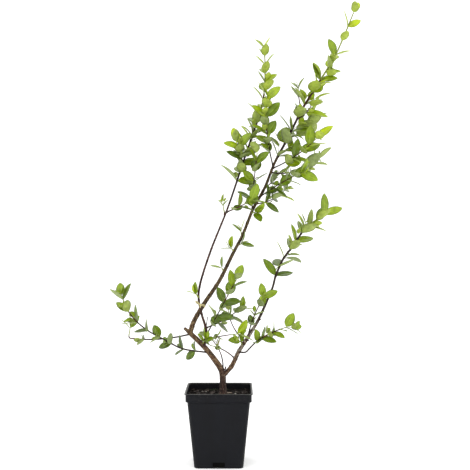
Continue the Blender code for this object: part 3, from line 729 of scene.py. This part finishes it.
STUBS = (                       # pruned ends: foot, tip and radius in mm
    ((8.1, -2.2, 125.5), (8.8, -2.6, 130.0), 0.9),
    ((-17, -14, 186), (-15.2, -13, 198.5), 0.6),
    ((-41, -6, 177.5), (-47.0, -7, 182.2), 2.1),
    ((32.5, 10.5, 159), (29.6, 8.5, 161.8), 0.9),
    ((37.2, 12.5, 163), (40.6, 10.5, 163.0), 0.8),
    ((42.4, 14.5, 177.3), (40.6, 13, 179), 0.7),
    ((55, 19.5, 190.5), (57, 18.5, 191), 0.8),
)


def upto(path, reach):
    """The stretch of a fine path up to a distance."""
    kept = []
    distance = 0.0
    for index, (place, radius) in enumerate(path):
        distance += (place - path[max(index - 1, 0)][0]).length
        if distance > reach:
            break
        kept.append((place, radius))
    return kept


def refine(path, longest):
    return smooth([place for place, _ in path], [radius for _, radius in path], longest)


wood_frames = []
frame_limbs = []                # the limb that each frame belongs to
bm = bmesh.new()
for name, spacing in WOODY.items():
    whole = refine(whole_lines[name], WOOD_STEP)
    fine = upto(whole, path_length(paths[name]) + OVERRUN)
    if name == "trunk":         # it starts below the crust and goes on as the low bough
        foot, thick = whole[0]
        sunk = [(foot - Vector((0, 0, step * MM)), thick * (1 + 0.05 * step)) for step in (3, 2, 1)]
        fine = sunk + whole
    frames = frames_along(fine)
    knots = spacing * MM
    offset = random.Random(name).uniform(0.2, 0.8) * knots

    def swell(distance, knots=knots, offset=offset, plain=name == "trunk"):
        away = abs((distance - offset + knots / 2) % knots - knots / 2)
        return 1.0 if plain else LIMB_SWELL + KNOT_SWELL * math.exp(-(away / KNOT_HALF) ** 2)

    add_tube(bm, frames, WOOD_SIDES, swell)
    wood_frames += frames
    frame_limbs += [name] * len(frames)
for foot, tip, radius in STUBS:
    ends = [Vector(foot) * MM, Vector(tip) * MM]
    frames = frames_along([(ends[0].lerp(ends[1], share), radius * MM * thick)
                           for share, thick in STUB_SHAPE])
    add_tube(bm, frames, STUB_SIDES)
    wood_frames += frames
    frame_limbs += ["dead stub" if radius < THIN_STUB else "stub"] * 3 + ["dead stub"]

wood = bpy.data.objects.new("woody_limbs", mesh_from("woody_limbs", bm))
bpy.context.scene.collection.objects.link(wood)
skin = wood.modifiers.new("Skin", "REMESH")
skin.mode = "VOXEL"
skin.voxel_size = WOOD_VOXEL
skin.adaptivity = 0
even = wood.modifiers.new("Even", "SMOOTH")
even.factor = 0.5
even.iterations = 5
bpy.context.view_layer.update()
wood_mesh = bpy.data.meshes.new_from_object(wood.evaluated_get(bpy.context.evaluated_depsgraph_get()))
bpy.data.objects.remove(wood, do_unlink=True)

# Every point of the bark knows its place in the straightened limb, so strips run along the limb.
nearest = KDTree(len(wood_frames))
for index, (place, *_) in enumerate(wood_frames):
    nearest.insert(place, index)
nearest.balance()
straight = wood_mesh.attributes.new("straightened", "FLOAT_VECTOR", "POINT")
moved = []
for vert in wood_mesh.vertices:
    place, radius, distance, heading, side, back = wood_frames[nearest.find(vert.co)[1]]
    offset = vert.co - place
    spot = Vector((offset.dot(side), offset.dot(back), (distance + offset.dot(heading)) * STRIP_STRETCH))
    straight.data[vert.index].vector = spot / MM
    coarse = min(1.0, radius / OLD_RADIUS)
    strips = 1 - 2 * abs(noise.noise(spot / (1.5 * STRIP)))
    flakes = noise.noise(Vector((spot.x, spot.y, spot.z * FLECK_SHORTNESS)) / STRIP + Vector((7, 3, 1)))
    fine = noise.noise(vert.co / FINE_GRAIN)
    flare = math.exp(-max(0, vert.co.z - TRUNK_FOOT.z) / ROOT_HEIGHT) * max(0, noise.noise(spot / ROOT_LOBE))
    rise = coarse * (STRIP_RELIEF * strips + FLAKE_RELIEF * flakes) + FINE_RELIEF * fine
    rise += ROOT_RELIEF * flare if radius > OLD_RADIUS else 0
    moved.append(vert.co + vert.normal * rise * MM)
for vert, place in zip(wood_mesh.vertices, moved):
    vert.co = place
for face in wood_mesh.polygons:
    face.material_index = frame_limbs[nearest.find(face.center)[1]] in ("slender_stem", "dead stub")
wood_mesh.shade_smooth()

# Young bark is thin, tight and purplish brown, with a slight sheen and fine lines along the stem.
slender_bark, tree = new_finish("tight purplish bark", "#2a1f1e", 0.6, 1.45, 0.28)
spot = add_node(tree, "Attribute", "Vector", attribute_name="straightened")
lines = add_node(tree, "TexNoise", "Fac", {
    "Vector": spot, "Scale": 0.5 / LINE_WIDTH, "Detail": 4, "Roughness": 0.5})
ridge = add_node(tree, "MapRange", "Result", {"Value": lines, "From Min": 0.4, "From Max": 0.66})
feed(tree, "Base Color", add_node(tree, "Mix", 2, {0: ridge, 6: "#1f120f", 7: "#523427"}, data_type="RGBA"))
feed(tree, "Normal", add_node(tree, "Bump", "Normal", {
    "Height": lines, "Distance": LINE_RISE, "Strength": 1}))

# Old bark is dry and matt. It peels in narrow strips with dark cracks between them and pale flecks on
# them: darkest at the foot of the trunk, where the darkness is painted shade, warm brown on the low limbs
# and darker on the tall bough. Grey scales cover the right bough near its foot, and further out it is darker.
bark, tree = new_finish("thin myrtle bark", "#3c2b1e", 0.7, 1.45, 0.28)
spot = add_node(tree, "Attribute", "Vector", attribute_name="straightened")
shorter = add_node(tree, "Mapping", "Vector", {"Vector": spot, "Scale": (1, 1, FLECK_SHORTNESS)})
strips = add_node(tree, "TexNoise", "Fac", {
    "Vector": spot, "Scale": 0.5 / STRIP_SHADE, "Detail": 5, "Roughness": 0.62})
flecks = add_node(tree, "TexNoise", "Fac", {
    "Vector": shorter, "Scale": 0.5 / FLECK_WIDTH, "Detail": 5, "Roughness": 0.65})
place = add_node(tree, "TexCoord", "Object")
beside = add_node(tree, "SeparateXYZ", "X", {"Vector": place})
height = add_node(tree, "SeparateXYZ", "Z", {"Vector": place})
masks = []
for value, low, high, least, most in (
        (strips, 0.42, 0.6, 0, 1), (strips, 0.3, 0.42, 0.9, 0), (flecks, 0.5, 0.64, 0, 0.8),
        (flecks, 0.49, 0.62, 0, 0.75), (flecks, 0.49, 0.62, 0, 0.65), (flecks, 0.44, 0.56, 0, 0.95),
        (height, 112 * MM, 134 * MM, 0, 1), (height, 165 * MM, 215 * MM, 0, 1),
        (height, 134 * MM, 152 * MM, 0, 1), (height, 205 * MM, 180 * MM, 0, 1),
        (beside, 14 * MM, 26 * MM, 0, 1), (beside, 46 * MM, 58 * MM, 0, 1),
        (height, 300 * MM, 280 * MM, 0, 0.8)):
    masks.append(add_node(tree, "MapRange", "Result", {
        "Value": value, "From Min": low, "From Max": high, "To Min": least, "To Max": most}))
(ridge, crack, foot_fleck, old_fleck, young_fleck, scale, over_foot, over_knuckle,
 over_fork, under_bend, beside_trunk, beside_fork, under_crown) = masks
products = []
for one, *others in ((beside_trunk, under_bend, over_fork, scale), (beside_fork, under_crown)):
    for other in others:
        one = add_node(tree, "Math", "Value", {0: one, 1: other}, operation="MULTIPLY")
    products.append(one)
grey_scales, dark_limb = products
# The first zone, the foot of the trunk, is painted darker: painted shade down by the compost.
bark_zones = []
for colour, warm, fleck, pale in (("#180e0a", "#463027", foot_fleck, "#776459"),
                                  ("#24160d", "#674730", old_fleck, "#a38a68"),
                                  ("#1c120b", "#503c27", young_fleck, "#83724c")):
    for share, layer in ((ridge, warm), (fleck, pale)):
        colour = add_node(tree, "Mix", 2, {0: share, 6: colour, 7: layer}, data_type="RGBA")
    bark_zones.append(colour)
colour, old_bark, young_bark = bark_zones
for share, layer in ((over_foot, old_bark), (over_knuckle, young_bark), (grey_scales, "#9f978b"),
                     (dark_limb, "#241812"), (crack, "#1a100b")):
    colour = add_node(tree, "Mix", 2, {0: share, 6: colour, 7: layer}, data_type="RGBA")
feed(tree, "Base Color", colour)
feed(tree, "Normal", add_node(tree, "Bump", "Normal", {
    "Height": strips, "Distance": STRIP_RISE, "Strength": 1}))
new_piece("woody_limbs", wood_mesh, [bark, slender_bark],
          ["trunk", "low_bough", "right_bough", "tall_bough", "slender_stem"])

# ================================================================ leaves and finer twigs
# Common myrtle leaves: opposite, each pair a right angle on from the last, oval with a short point,
# smooth and a little folded along the midrib. They turn their faces to the light. Young ones are
# yellow-green and old ones dark, and all are pale and grey underneath.

LEAF_WIDTH = 0.53               # of the leaf's length
LEAF_KEEL = 0.04                # depth of the space under the midrib, of the leaf's length
LEAF_FOLD = 0.16
LEAF_DROOP = 0.10
FREE_SECTIONS = (               # of the space that a leaf keeps: how far along, how wide and how deep
    (0.2, 0.8, 1.0), (0.47, 1.0, 0.8), (0.77, 0.72, 0.5), (1.0, 0.0, 0.0))
YOUNG_ANGLE = 34                # degrees between a leaf and its twig, at the tip
OLD_ANGLE = 58                  # and at the foot
AXIL_LENGTH = 0.66              # of the small leaves in the axils, beside the others
AXIL_LEAN = 0.6
TURN_SPREAD = 18                # degrees
ANGLE_SPREAD = 10
ROLL_SPREAD = 40
LENGTH_SPREAD = 0.12
LIGHT = Vector((-0.1, -0.7, 0.7))   # from the front, above and a little left
LIGHT_PULL = 0.9
TINY_PULL = 0.5
NUDGES = (0, 25, -25, 50, -50)  # degrees that a leaf is turned by, to find a free place
TINY_LEAF = (7, 20)             # mm, on the shoots that start in the axils of weak and strong stems
TINY_SHARE = (0.5, 1.0)         # of the axils that have one, on weak and strong stems
TINY_PAIRS = ((0.62, 1.0), (1.0, 0.75))   # how far up such a shoot a pair stands, and its size
TINY_LEAN = (28, 48)            # degrees
TINY_FOOT = 0.6 * MM            # how far it starts from the leaf's own foot
TINY_SHORTEST = 3.5             # mm
TINY_LONGEST = 5                # on a weak stem
TINY_EXTRA = 18                 # and what a strong one adds
TINY_STALK = 0.45               # mm, the radius at the foot
TINY_TAPER = 0.05               # and how much thinner it is at each quarter of its length


def leaf_space(root, along, normal, length):
    """The space that a leaf keeps free round it, as solid_tree gives it."""
    across = along.cross(normal)
    points = []
    for distance, half, depth in FREE_SECTIONS:
        middle = root + along * length * distance - normal * length * LEAF_DROOP * distance ** 2
        reach = half * length * LEAF_WIDTH / 2 + GAP
        rise = normal * (LEAF_FOLD * reach + GAP)
        points += [middle - across * reach + rise, middle + across * reach + rise,
                   middle - normal * (depth * length * LEAF_KEEL + GAP)]
    faces = [(0, 1, 2), (len(points) - 1, len(points) - 2, len(points) - 3)]
    for first in range(0, len(points) - 3, 3):
        for one, two in ((0, 1), (1, 2), (2, 0)):
            faces += [(first + two, first + one, first + one + 3),
                      (first + two, first + one + 3, first + two + 3)]
    return solid_tree(points, faces)


def solid_tree(points, faces):
    """A solid's search tree, with the centre and radius of a ball round it."""
    centre = sum(points, Vector()) / len(points)
    return BVHTree.FromPolygons(points, faces), centre, max((point - centre).length for point in points)


def is_free(tree, centre, reach, taken):
    for other, its_centre, its_reach in taken:
        if (centre - its_centre).length < reach + its_reach and tree.overlap(other):
            return False
    return True


def stem_space(path):
    """The four-sided space round a stem, a gap wider than it."""
    curve = bpy.data.curves.new("space", "CURVE")
    curve.dimensions = "3D"
    curve.bevel_depth = 1
    curve.bevel_resolution = 0
    curve.use_fill_caps = True
    spline = curve.splines.new("POLY")
    spline.points.add(len(path) - 1)
    first = (path[0][0] - path[1][0]).normalized() * GAP
    last = (path[-1][0] - path[-2][0]).normalized() * GAP
    places = [path[0][0] + first, *[place for place, _ in path[1:-1]], path[-1][0] + last]
    for point, place, (_, radius) in zip(spline.points, places, path):
        point.co = (*place, 1)
        point.radius = radius + GAP
    guide = bpy.data.objects.new("space", curve)
    bpy.context.scene.collection.objects.link(guide)
    mesh = bpy.data.meshes.new_from_object(guide.evaluated_get(bpy.context.evaluated_depsgraph_get()))
    bpy.data.objects.remove(guide, do_unlink=True)
    return solid_tree([vert.co.copy() for vert in mesh.vertices],
                      [tuple(face.vertices) for face in mesh.polygons])


def settle(root, axis, outward, lean, turn, roll, pull, length, taken, boxed=False):
    """The heading and normal of a leaf in the first free place round its stem, if there is one."""
    for nudge in NUDGES:
        side = outward.copy()
        side.rotate(Quaternion(axis, math.radians(turn + nudge)))
        along = axis * math.cos(lean) + side * math.sin(lean)
        normal = axis * math.sin(lean) - side * math.cos(lean) + LIGHT * pull
        normal = (normal - along * normal.dot(along)).normalized()
        normal.rotate(Quaternion(along, roll))
        space = leaf_space(root, along, normal, length)
        inside = not boxed or all(low + MM < place < high - MM for low, place, high in
                                  zip(frame_box[0], root + along * length, frame_box[1]))
        if inside and is_free(*space, taken):
            taken.append(space)
            return along, normal


Leaf = namedtuple("Leaf", "root along normal length age small")


def leaves_on(name, path, leaves, taken):
    """The leaves of one stem: opposite pairs, each a right angle on from the pair before."""
    rng = random.Random(name)
    total = path_length(path)
    bare = leaves.bare * MM
    grown = []
    for pair in range(leaves.pairs):
        share = pair / (leaves.pairs - 1) if leaves.pairs > 1 else 1
        distance = bare + (total - bare) * share
        root, axis = place_along(path, distance)
        left = axis.cross(Vector((0, 1, 0))).normalized()
        for side in (0, 180, 90, 270) if share < leaves.axils else (0, 180):
            small = side % 180
            turn = leaves.turn + 90 * pair + side + rng.uniform(-TURN_SPREAD, TURN_SPREAD)
            lean = OLD_ANGLE + (YOUNG_ANGLE - OLD_ANGLE) * distance / total
            lean = math.radians(lean + rng.uniform(-ANGLE_SPREAD, ANGLE_SPREAD))
            lean *= AXIL_LEAN if small else 1
            roll = math.radians(rng.uniform(-ROLL_SPREAD, ROLL_SPREAD))
            length = (leaves.foot + (leaves.tip - leaves.foot) * share) * MM
            length *= 1 + rng.uniform(-LENGTH_SPREAD, LENGTH_SPREAD)
            length *= AXIL_LENGTH if small else 1
            settled = settle(root, axis, left, lean, turn, roll, LIGHT_PULL, length, taken)
            if settled:
                grown.append(Leaf(root, *settled, length, distance / total, bool(small)))
    return grown


# Tints from the youngest to the oldest, which also carry painted light and shade, the brighter ones for lit
# stems and the darker for shaded ones; then a fading leaf and a withered one: the face, the midrib, the
# underside and the margin of each.
TINTS = (
    ("#b8cb14", "#cad74e", "#b2c44a", "#93a60e"),
    ("#9bb30e", "#b7c843", "#a1b345", "#7b900a"),
    ("#839c0d", "#a4b83b", "#96a74f", "#677d09"),
    ("#6c860d", "#90a638", "#8d9d5b", "#546a08"),
    ("#57700d", "#7f9435", "#84945c", "#435708"),
    ("#435b0d", "#6c8331", "#7a8b59", "#334808"),
    ("#a9a650", "#cdc98a", "#b4b078", "#8c8638"),
    ("#aca072", "#cbc08f", "#a39870", "#857848"),
)
FADING, WITHERED = len(TINTS) - 2, len(TINTS) - 1
CAUGHT = (                      # withered leaves caught where two stems cross: root, heading, length
    ((-32, -19.5, 219.5), (1, -0.1, -0.6), 9),
    ((-26, -20, 213.5), (1, 0, 0.25), 7),
    ((-24.5, -20, 216), (-0.1, -0.2, -1), 6),
    ((-22, -19.5, 215.5), (0.8, 0, -0.8), 6),
)
CAUGHT_FACE = Vector((0, -1, 0.4))   # where they face
WITHERED_SLIM = 0.7
DROOP_SPREAD = (0.4, 1.9)       # times the usual droop, fold and width
FOLD_SPREAD = (0.5, 2.0)
WIDTH_SPREAD = (0.96, 1.2)
SICKLE = 0.06                   # how far a tip may bend aside, of the leaf's length
WAVE = 0.05                     # of the margin, of the half width
LEAF_ROWS = (0.0, 0.045, 0.09, 0.17, 0.28, 0.42, 0.57, 0.71, 0.83, 0.92, 0.975)
PETIOLE = 0.07                  # of the leaf's length
STALK_HALF = 0.32 * MM
MIDRIB_HALF = 0.3 * MM
THICK = 0.3 * MM
LEAF_ROUGHNESS = (0.34, 0.5, 0.62, 0.5)
BLOTCH_SIZE = 3.2 * MM
PORE_SIZE = 0.9 * MM            # the real oil glands are much smaller, too fine to show
PORE_DEPTH = 0.06 * MM

PARTS = 4                       # of a leaf: face, midrib, underside, margin
LEAF_PARTS = (2, 3, 0, 0, 1, 1, 0, 0, 3, 2, 2, 2)   # of the faces round a leaf

# A myrtle leaf is waxed: its face is glossy, with an unevenness that breaks up the light, and darkens
# with age. Its midrib and margin have less shine and its underside hardly any.
leaf_finishes = []
for number, codes in enumerate(TINTS):
    for part, code, roughness in zip(("face", "midrib", "underside", "margin"), codes, LEAF_ROUGHNESS):
        finish, tree = new_finish(f"myrtle leaf {part} {number}", code, roughness, 1.45, 0.5)
        place = add_node(tree, "TexCoord", "Object")
        blotches, pores = (
            add_node(tree, "TexNoise", "Fac", {
                "Vector": place, "Scale": 0.5 / size, "Detail": detail, "Roughness": 0.55})
            for size, detail in ((BLOTCH_SIZE, 4), (PORE_SIZE, 2)))
        mottle = add_node(tree, "MapRange", "Result", {
            "Value": blotches, "From Min": 0.32, "From Max": 0.68, "To Min": 0.72, "To Max": 1.2})
        feed(tree, "Base Color", add_node(tree, "VectorMath", "Vector", {
            0: linear(code)[:3], "Scale": mottle}, operation="SCALE"))
        feed(tree, "Normal", add_node(tree, "Bump", "Normal", {
            "Height": pores, "Distance": PORE_DEPTH, "Strength": 1}))
        leaf_finishes.append(finish)


def half_width(share):
    """The leaf's half width as a share of the most, from the end of its stalk to its point."""
    return 2.53 * share ** 0.6 * (1 - share) ** 0.75


def add_leaf(bm, leaf, tint, rng, slim=1.0):
    """One leaf as a thin closed blade: stalk, folded blade with a raised margin, and midrib."""
    across = leaf.along.cross(leaf.normal)
    droop = LEAF_DROOP * rng.uniform(*DROOP_SPREAD)
    sickle = rng.uniform(-SICKLE, SICKLE)
    wave = rng.uniform(-WAVE, WAVE)
    width = leaf.length * LEAF_WIDTH / 2 * slim * rng.uniform(*WIDTH_SPREAD)
    fold = LEAF_FOLD * rng.uniform(*FOLD_SPREAD)
    ring = None
    for row, share in enumerate(LEAF_ROWS):
        blade = max(0.0, (share - PETIOLE) / (1 - PETIOLE))
        half = max(width * half_width(blade), STALK_HALF * (1 - 0.8 * blade))
        middle = leaf.root + leaf.along * leaf.length * share
        middle += (leaf.normal * leaf.length * (-droop * share ** 2)
                   + across * leaf.length * sickle * share ** 2)
        rib = min(MIDRIB_HALF * (1.2 - blade), half * 0.6)
        margin = fold * half + wave * half * math.sin(9 * share)
        thick = THICK * (1 - 0.6 * blade)
        # From the left margin over the face to the right margin, and back along the underside.
        section = [(-half, margin * 0.8), (-half * 0.82, margin * 0.86 + thick * 0.4),
                   (-half * 0.5, margin * 0.42 + thick * 0.6), (-rib, thick * 0.35), (0, thick * 0.1),
                   (rib, thick * 0.35), (half * 0.5, margin * 0.42 + thick * 0.6),
                   (half * 0.82, margin * 0.86 + thick * 0.4), (half, margin * 0.8),
                   (half * 0.5, margin * 0.3 - thick * 0.4), (0, -thick * 1.5),
                   (-half * 0.5, margin * 0.3 - thick * 0.4)]
        count = len(bm.faces)
        first = ring is None
        ring = add_ring(bm, ring, [middle + across * x + leaf.normal * y for x, y in section])
        if first:
            continue
        bm.faces.ensure_lookup_table()
        for face, part in zip(bm.faces[count:], LEAF_PARTS):
            face.material_index = PARTS * tint + (part if blade > 0.01 else 1)
    tip = bm.verts.new(leaf.root + leaf.along * leaf.length - leaf.normal * leaf.length * droop
                       + across * leaf.length * sickle + leaf.normal * LEAF_FOLD * 0.02 * width)
    for index, vert in enumerate(ring):
        face = bm.faces.new((ring[index - 1], vert, tip))
        face.material_index = PARTS * tint + LEAF_PARTS[index]


def tiny_shoot(bm, leaf, axis, strength, taken, rng):
    """A shoot just starting in a leaf's axil: a stalk with one or two pairs of tiny leaves."""
    heading = (axis * 1.3 + leaf.along).normalized()
    length = rng.uniform(TINY_SHORTEST, TINY_LONGEST + TINY_EXTRA * strength ** 2) * MM
    foot = leaf.root + heading * TINY_FOOT
    tiny = TINY_LEAF[0] + (TINY_LEAF[1] - TINY_LEAF[0]) * strength
    grown = []
    for share, size in TINY_PAIRS:
        side = heading.orthogonal().normalized()
        side.rotate(Quaternion(heading, rng.uniform(0, FULL_TURN)))
        for outward in (side, -side):
            lean = math.radians(rng.uniform(*TINY_LEAN))
            size_here = tiny * MM * size * rng.uniform(0.75, 1.25)
            root = foot + heading * length * share
            settled = settle(root, heading, outward, lean, 0, 0, TINY_PULL, size_here, taken, boxed=True)
            if settled:
                grown.append(Leaf(root, *settled, size_here, 1.0, True))
    if grown:
        stalk = [(foot + heading * length * step / 4, (TINY_STALK - TINY_TAPER * step) * MM)
                 for step in range(5)]
        add_tube(bm, frames_along(stalk), 6, index_at=lambda distance: 2)
    return grown


TWIG_STEP = 1.3 * MM
TWIG_SIDES = 8
TWIG_SWELL = 1.12               # a twig's radius, and what it has more at its foot, at a pair of
FOOT_SWELL = 0.9                # leaves and, on a shoot that goes on from a limb, at its tip
NODE_SWELL = 0.28
TIP_SWELL = 0.3
COLLAR = 1.6 * MM               # the thickest part of the foot, and how soon it dies away
COLLAR_FADE = 1.5 * MM
NODE_HALF = 0.9 * MM
TWIG_LINES = 1.1 * MM           # width of the fine lines in the twig's bark
TWIG_RELIEF = 0.12 * MM

# Twigs are brown, then red, then green towards their growing tips, with a slight sheen and fine lines.
twig_finishes = []
for name, dark, pale in (("two-year myrtle twig", "#1b120e", "#3c2b23"),
                         ("one-year myrtle twig", "#2f1612", "#5a3228"),
                         ("growing myrtle shoot", "#6d7a2c", "#95a04a")):
    finish, tree = new_finish(name, dark, 0.6, 1.45, 0.28)
    lines = add_node(tree, "TexNoise", "Fac", {
        "Vector": add_node(tree, "TexCoord", "Object"), "Scale": 0.5 / TWIG_LINES, "Detail": 4,
        "Roughness": 0.6})
    ridge = add_node(tree, "MapRange", "Result", {"Value": lines, "From Min": 0.35, "From Max": 0.65})
    feed(tree, "Base Color", add_node(tree, "Mix", 2, {0: ridge, 6: dark, 7: pale}, data_type="RGBA"))
    feed(tree, "Normal", add_node(tree, "Bump", "Normal", {
        "Height": lines, "Distance": TWIG_RELIEF, "Strength": 1}))
    twig_finishes.append(finish)

# How the finer growth of a stem goes. Vigour and light is how bright its leaves are, from 0, old and in
# shade, to 1, young and in the light: besides their age it paints light and shade into their tints, darker on
# shaded stems and brighter on lit ones. Weak and strong are how freely the buds in its axils grow at its foot
# and its tip, from 0, hardly, to 1, all and strongly. Green, red and asleep are lengths in mm at its tip:
# what is green, what is red or green, and, on a shoot that goes on from a limb, where the buds still sleep.
# Slim is the width of its leaves beside the others', and faded is the share of fading ones.
Growth = namedtuple("Growth", "vigour weak strong green red asleep slim faded",
                    defaults=(0.3, 0.35, 0.35, 9, 34, 26, 1.0, 0))
GROWTH = {
    "crown_shoot": Growth(0.66, 1.0, 1.0, 95, 150, 64),
    "crown_right": Growth(0.65),
    "crown_upper": Growth(0.75, 0.2, 0.2),
    "crown_thin": Growth(0.4, 0.1, 0.1),
    "left_crown_shoot": Growth(0.65, 0.5, 0.5, 60, 110, 48),
    "left_fork": Growth(0.5),
    "left_inner": Growth(0.6),
    "right_crown_shoot": Growth(0.5, 0.85, 0.85, green=26, asleep=16, slim=0.84),
    "low_arm_shoot": Growth(0.3, 0.05, 0.7),
    "low_right_shoot": Growth(0.35, 0.65, 0.65),
    "second_leader": Growth(0.45, 0.5, 0.5, 30, 60),
    "crown_mid": Growth(0.7),
    "crown_low": Growth(0.45, 0.5, 0.5),
    "crown_lowest": Growth(0.25),
    "inner_upright": Growth(0.35),
    "bough_spur": Growth(0.2),
    "slender_right": Growth(0.35),
    "level_twig": Growth(0.35),
    "fork_twig": Growth(faded=0.4),
    "spur_low": Growth(faded=0.6),
    "spur_slender": Growth(faded=0.7),
}
MASSES = {
    "tall_crown": ("crown_shoot", "second_leader", "crown_mid", "crown_low", "crown_lowest", "bough_spray",
                   "inner_upright", "bough_spur", "spur_1", "spur_2", "spur_3", "spur_4", "spur_5"),
    "left_crown": ("left_crown_shoot", "slender_right", "slender_left", "spur_slender"),
    "right_crown": ("right_crown_shoot", "inner_twig", "back_twig", "cross_twig", "spur_right",
                    "low_right_shoot"),
    "low_shoots": ("low_arm_shoot", "high_arm_shoot", "rise_twig", "level_twig", "wavy_twig", "fork_twig",
                   "spur_low"),
}


def with_forks(shoot):
    """A shoot and the twigs that are fused to it."""
    return [shoot] + [twig.name for twig in TWIGS if twig.joined == shoot]


taken = [stem_space(path) for path in paths.values()]
forks = {twig.name for twig in TWIGS if twig.joined}
grown = {}
for shoot in shoot_leaves:
    if shoot not in forks:
        for stem in with_forks(shoot):
            grown[stem] = leaves_on(stem, paths[stem], shoot_leaves[stem], taken)

for mass, shoots in MASSES.items():
    twigs, blades = bmesh.new(), bmesh.new()
    for stem in [stem for shoot in shoots for stem in with_forks(shoot)]:
        rng = random.Random("finer " + stem)
        growth = GROWTH.get(stem, Growth())
        path = refine(paths[stem], TWIG_STEP)
        total = path_length(path)
        bare = shoot_leaves[stem].bare * MM
        pairs = shoot_leaves[stem].pairs
        nodes = [bare + (total - bare) * pair / max(1, pairs - 1) for pair in range(pairs)]
        on_from_limb = stem in {line.upper for line in LINES}
        green = total - growth.green * MM
        red = total - growth.red * MM

        def swell(distance, nodes=nodes, total=total, plain=on_from_limb):
            collar = 0 if plain else FOOT_SWELL * math.exp(-max(0, distance - COLLAR) / COLLAR_FADE)
            knots = sum(NODE_SWELL * math.exp(-((distance - node) / NODE_HALF) ** 2) for node in nodes)
            return TWIG_SWELL + collar + knots + (TIP_SWELL * distance / total if plain else 0)

        add_tube(twigs, frames_along(path), TWIG_SIDES, swell,
                 lambda distance, green=green, red=red: 2 if distance > green else 1 if distance > red else 0)
        # A leaf is tinted younger near its stem's tip and on a stem full of vigour and light, a tint that is
        # partly painted light and shade.
        for leaf in grown[stem]:
            youth_and_light = 0.55 * growth.vigour + 0.45 * leaf.age * (0.5 + growth.vigour) + rng.gauss(0, 0.11)
            tint = min(FADING - 1, max(0, round((1 - youth_and_light) * (FADING - 1))))
            if rng.random() < growth.faded:
                tint = FADING
            add_leaf(blades, leaf, tint, rng, growth.slim)
            started = not on_from_limb or leaf.age * total < total - growth.asleep * MM
            strength = growth.weak + (growth.strong - growth.weak) * leaf.age
            share = TINY_SHARE[0] + (TINY_SHARE[1] - TINY_SHARE[0]) * strength
            if started and not leaf.small and rng.random() < share:
                axis = place_along(path, leaf.age * total)[1]
                for tiny in tiny_shoot(twigs, leaf, axis, strength, taken, rng):
                    add_leaf(blades, tiny, max(0, tint - 1), rng)
    if mass == "left_crown":
        for root, heading, length in CAUGHT:
            along = Vector(heading).normalized()
            normal = (CAUGHT_FACE - along * along.dot(CAUGHT_FACE)).normalized()
            leaf = Leaf(Vector(root) * MM, along, normal, length * MM, 1.0, True)
            add_leaf(blades, leaf, WITHERED, rng, WITHERED_SLIM)
    new_piece(mass + "_twigs", mesh_from("twigs", twigs), twig_finishes, shoots)
    new_piece(mass + "_leaves", mesh_from("leaves", blades), leaf_finishes, shoots)

# ================================================================ the studio
# A white sweep that runs from under the pot up behind the plant, under even white light with a large
# soft lamp above to the left.

FLOOR_HALF = 6.0
SWEEP_START = 1.6
SWEEP_RADIUS = 1.2
SWEEP_TOP = 4.0
SWEEP_STEPS = 16
PAPER_GLOW = 0.26
AIM = Vector((0.03, 0, 0.3))    # the middle of the plant

bm = bmesh.new()
profile = [(-FLOOR_HALF, 0), (SWEEP_START, 0)]
for step in range(1, SWEEP_STEPS + 1):
    angle = math.radians(90 * step / SWEEP_STEPS)
    profile.append((SWEEP_START + SWEEP_RADIUS * math.sin(angle), SWEEP_RADIUS * (1 - math.cos(angle))))
profile.append((SWEEP_START + SWEEP_RADIUS, SWEEP_TOP))
left = [bm.verts.new((-FLOOR_HALF, y, z)) for y, z in profile]
right = [bm.verts.new((FLOOR_HALF, y, z)) for y, z in profile]
for index in range(len(profile) - 1):
    bm.faces.new((left[index], right[index], right[index + 1], left[index + 1]))
sweep = bpy.data.objects.new("studio_sweep", mesh_from("studio_sweep", bm))
bpy.context.scene.collection.objects.link(sweep)
# Matt white paper, without shine. It glows a little, painted light that keeps the plant's shadow on it faint
# and lights the plant a little from below.
paper, tree = new_finish("matt white paper", "#fafafa", 0.9, 1.5, 0.1)
shader = tree.nodes["Principled BSDF"]
shader.inputs["Emission Color"].default_value = (1, 1, 1, 1)
shader.inputs["Emission Strength"].default_value = PAPER_GLOW
sweep.data.materials.append(paper)

world = bpy.data.worlds.new("white surround")
bpy.context.scene.world = world
world.use_nodes = True
world.node_tree.nodes["Background"].inputs["Color"].default_value = (1, 1, 1, 1)
world.node_tree.nodes["Background"].inputs["Strength"].default_value = 1.0

for name, place, size, power in (("key softbox", (-1.2, -1.6, 2.2), 2.4, 19),
                                 ("fill softbox", (1.8, -1.4, 1.2), 2.0, 8)):
    lamp = bpy.data.lights.new(name, "AREA")
    lamp.shape = "SQUARE"
    lamp.size = size
    lamp.energy = power
    holder = bpy.data.objects.new(name, lamp)
    holder.location = place
    holder.rotation_euler = (AIM - Vector(place)).to_track_quat("-Z", "Y").to_euler()
    bpy.context.scene.collection.objects.link(holder)
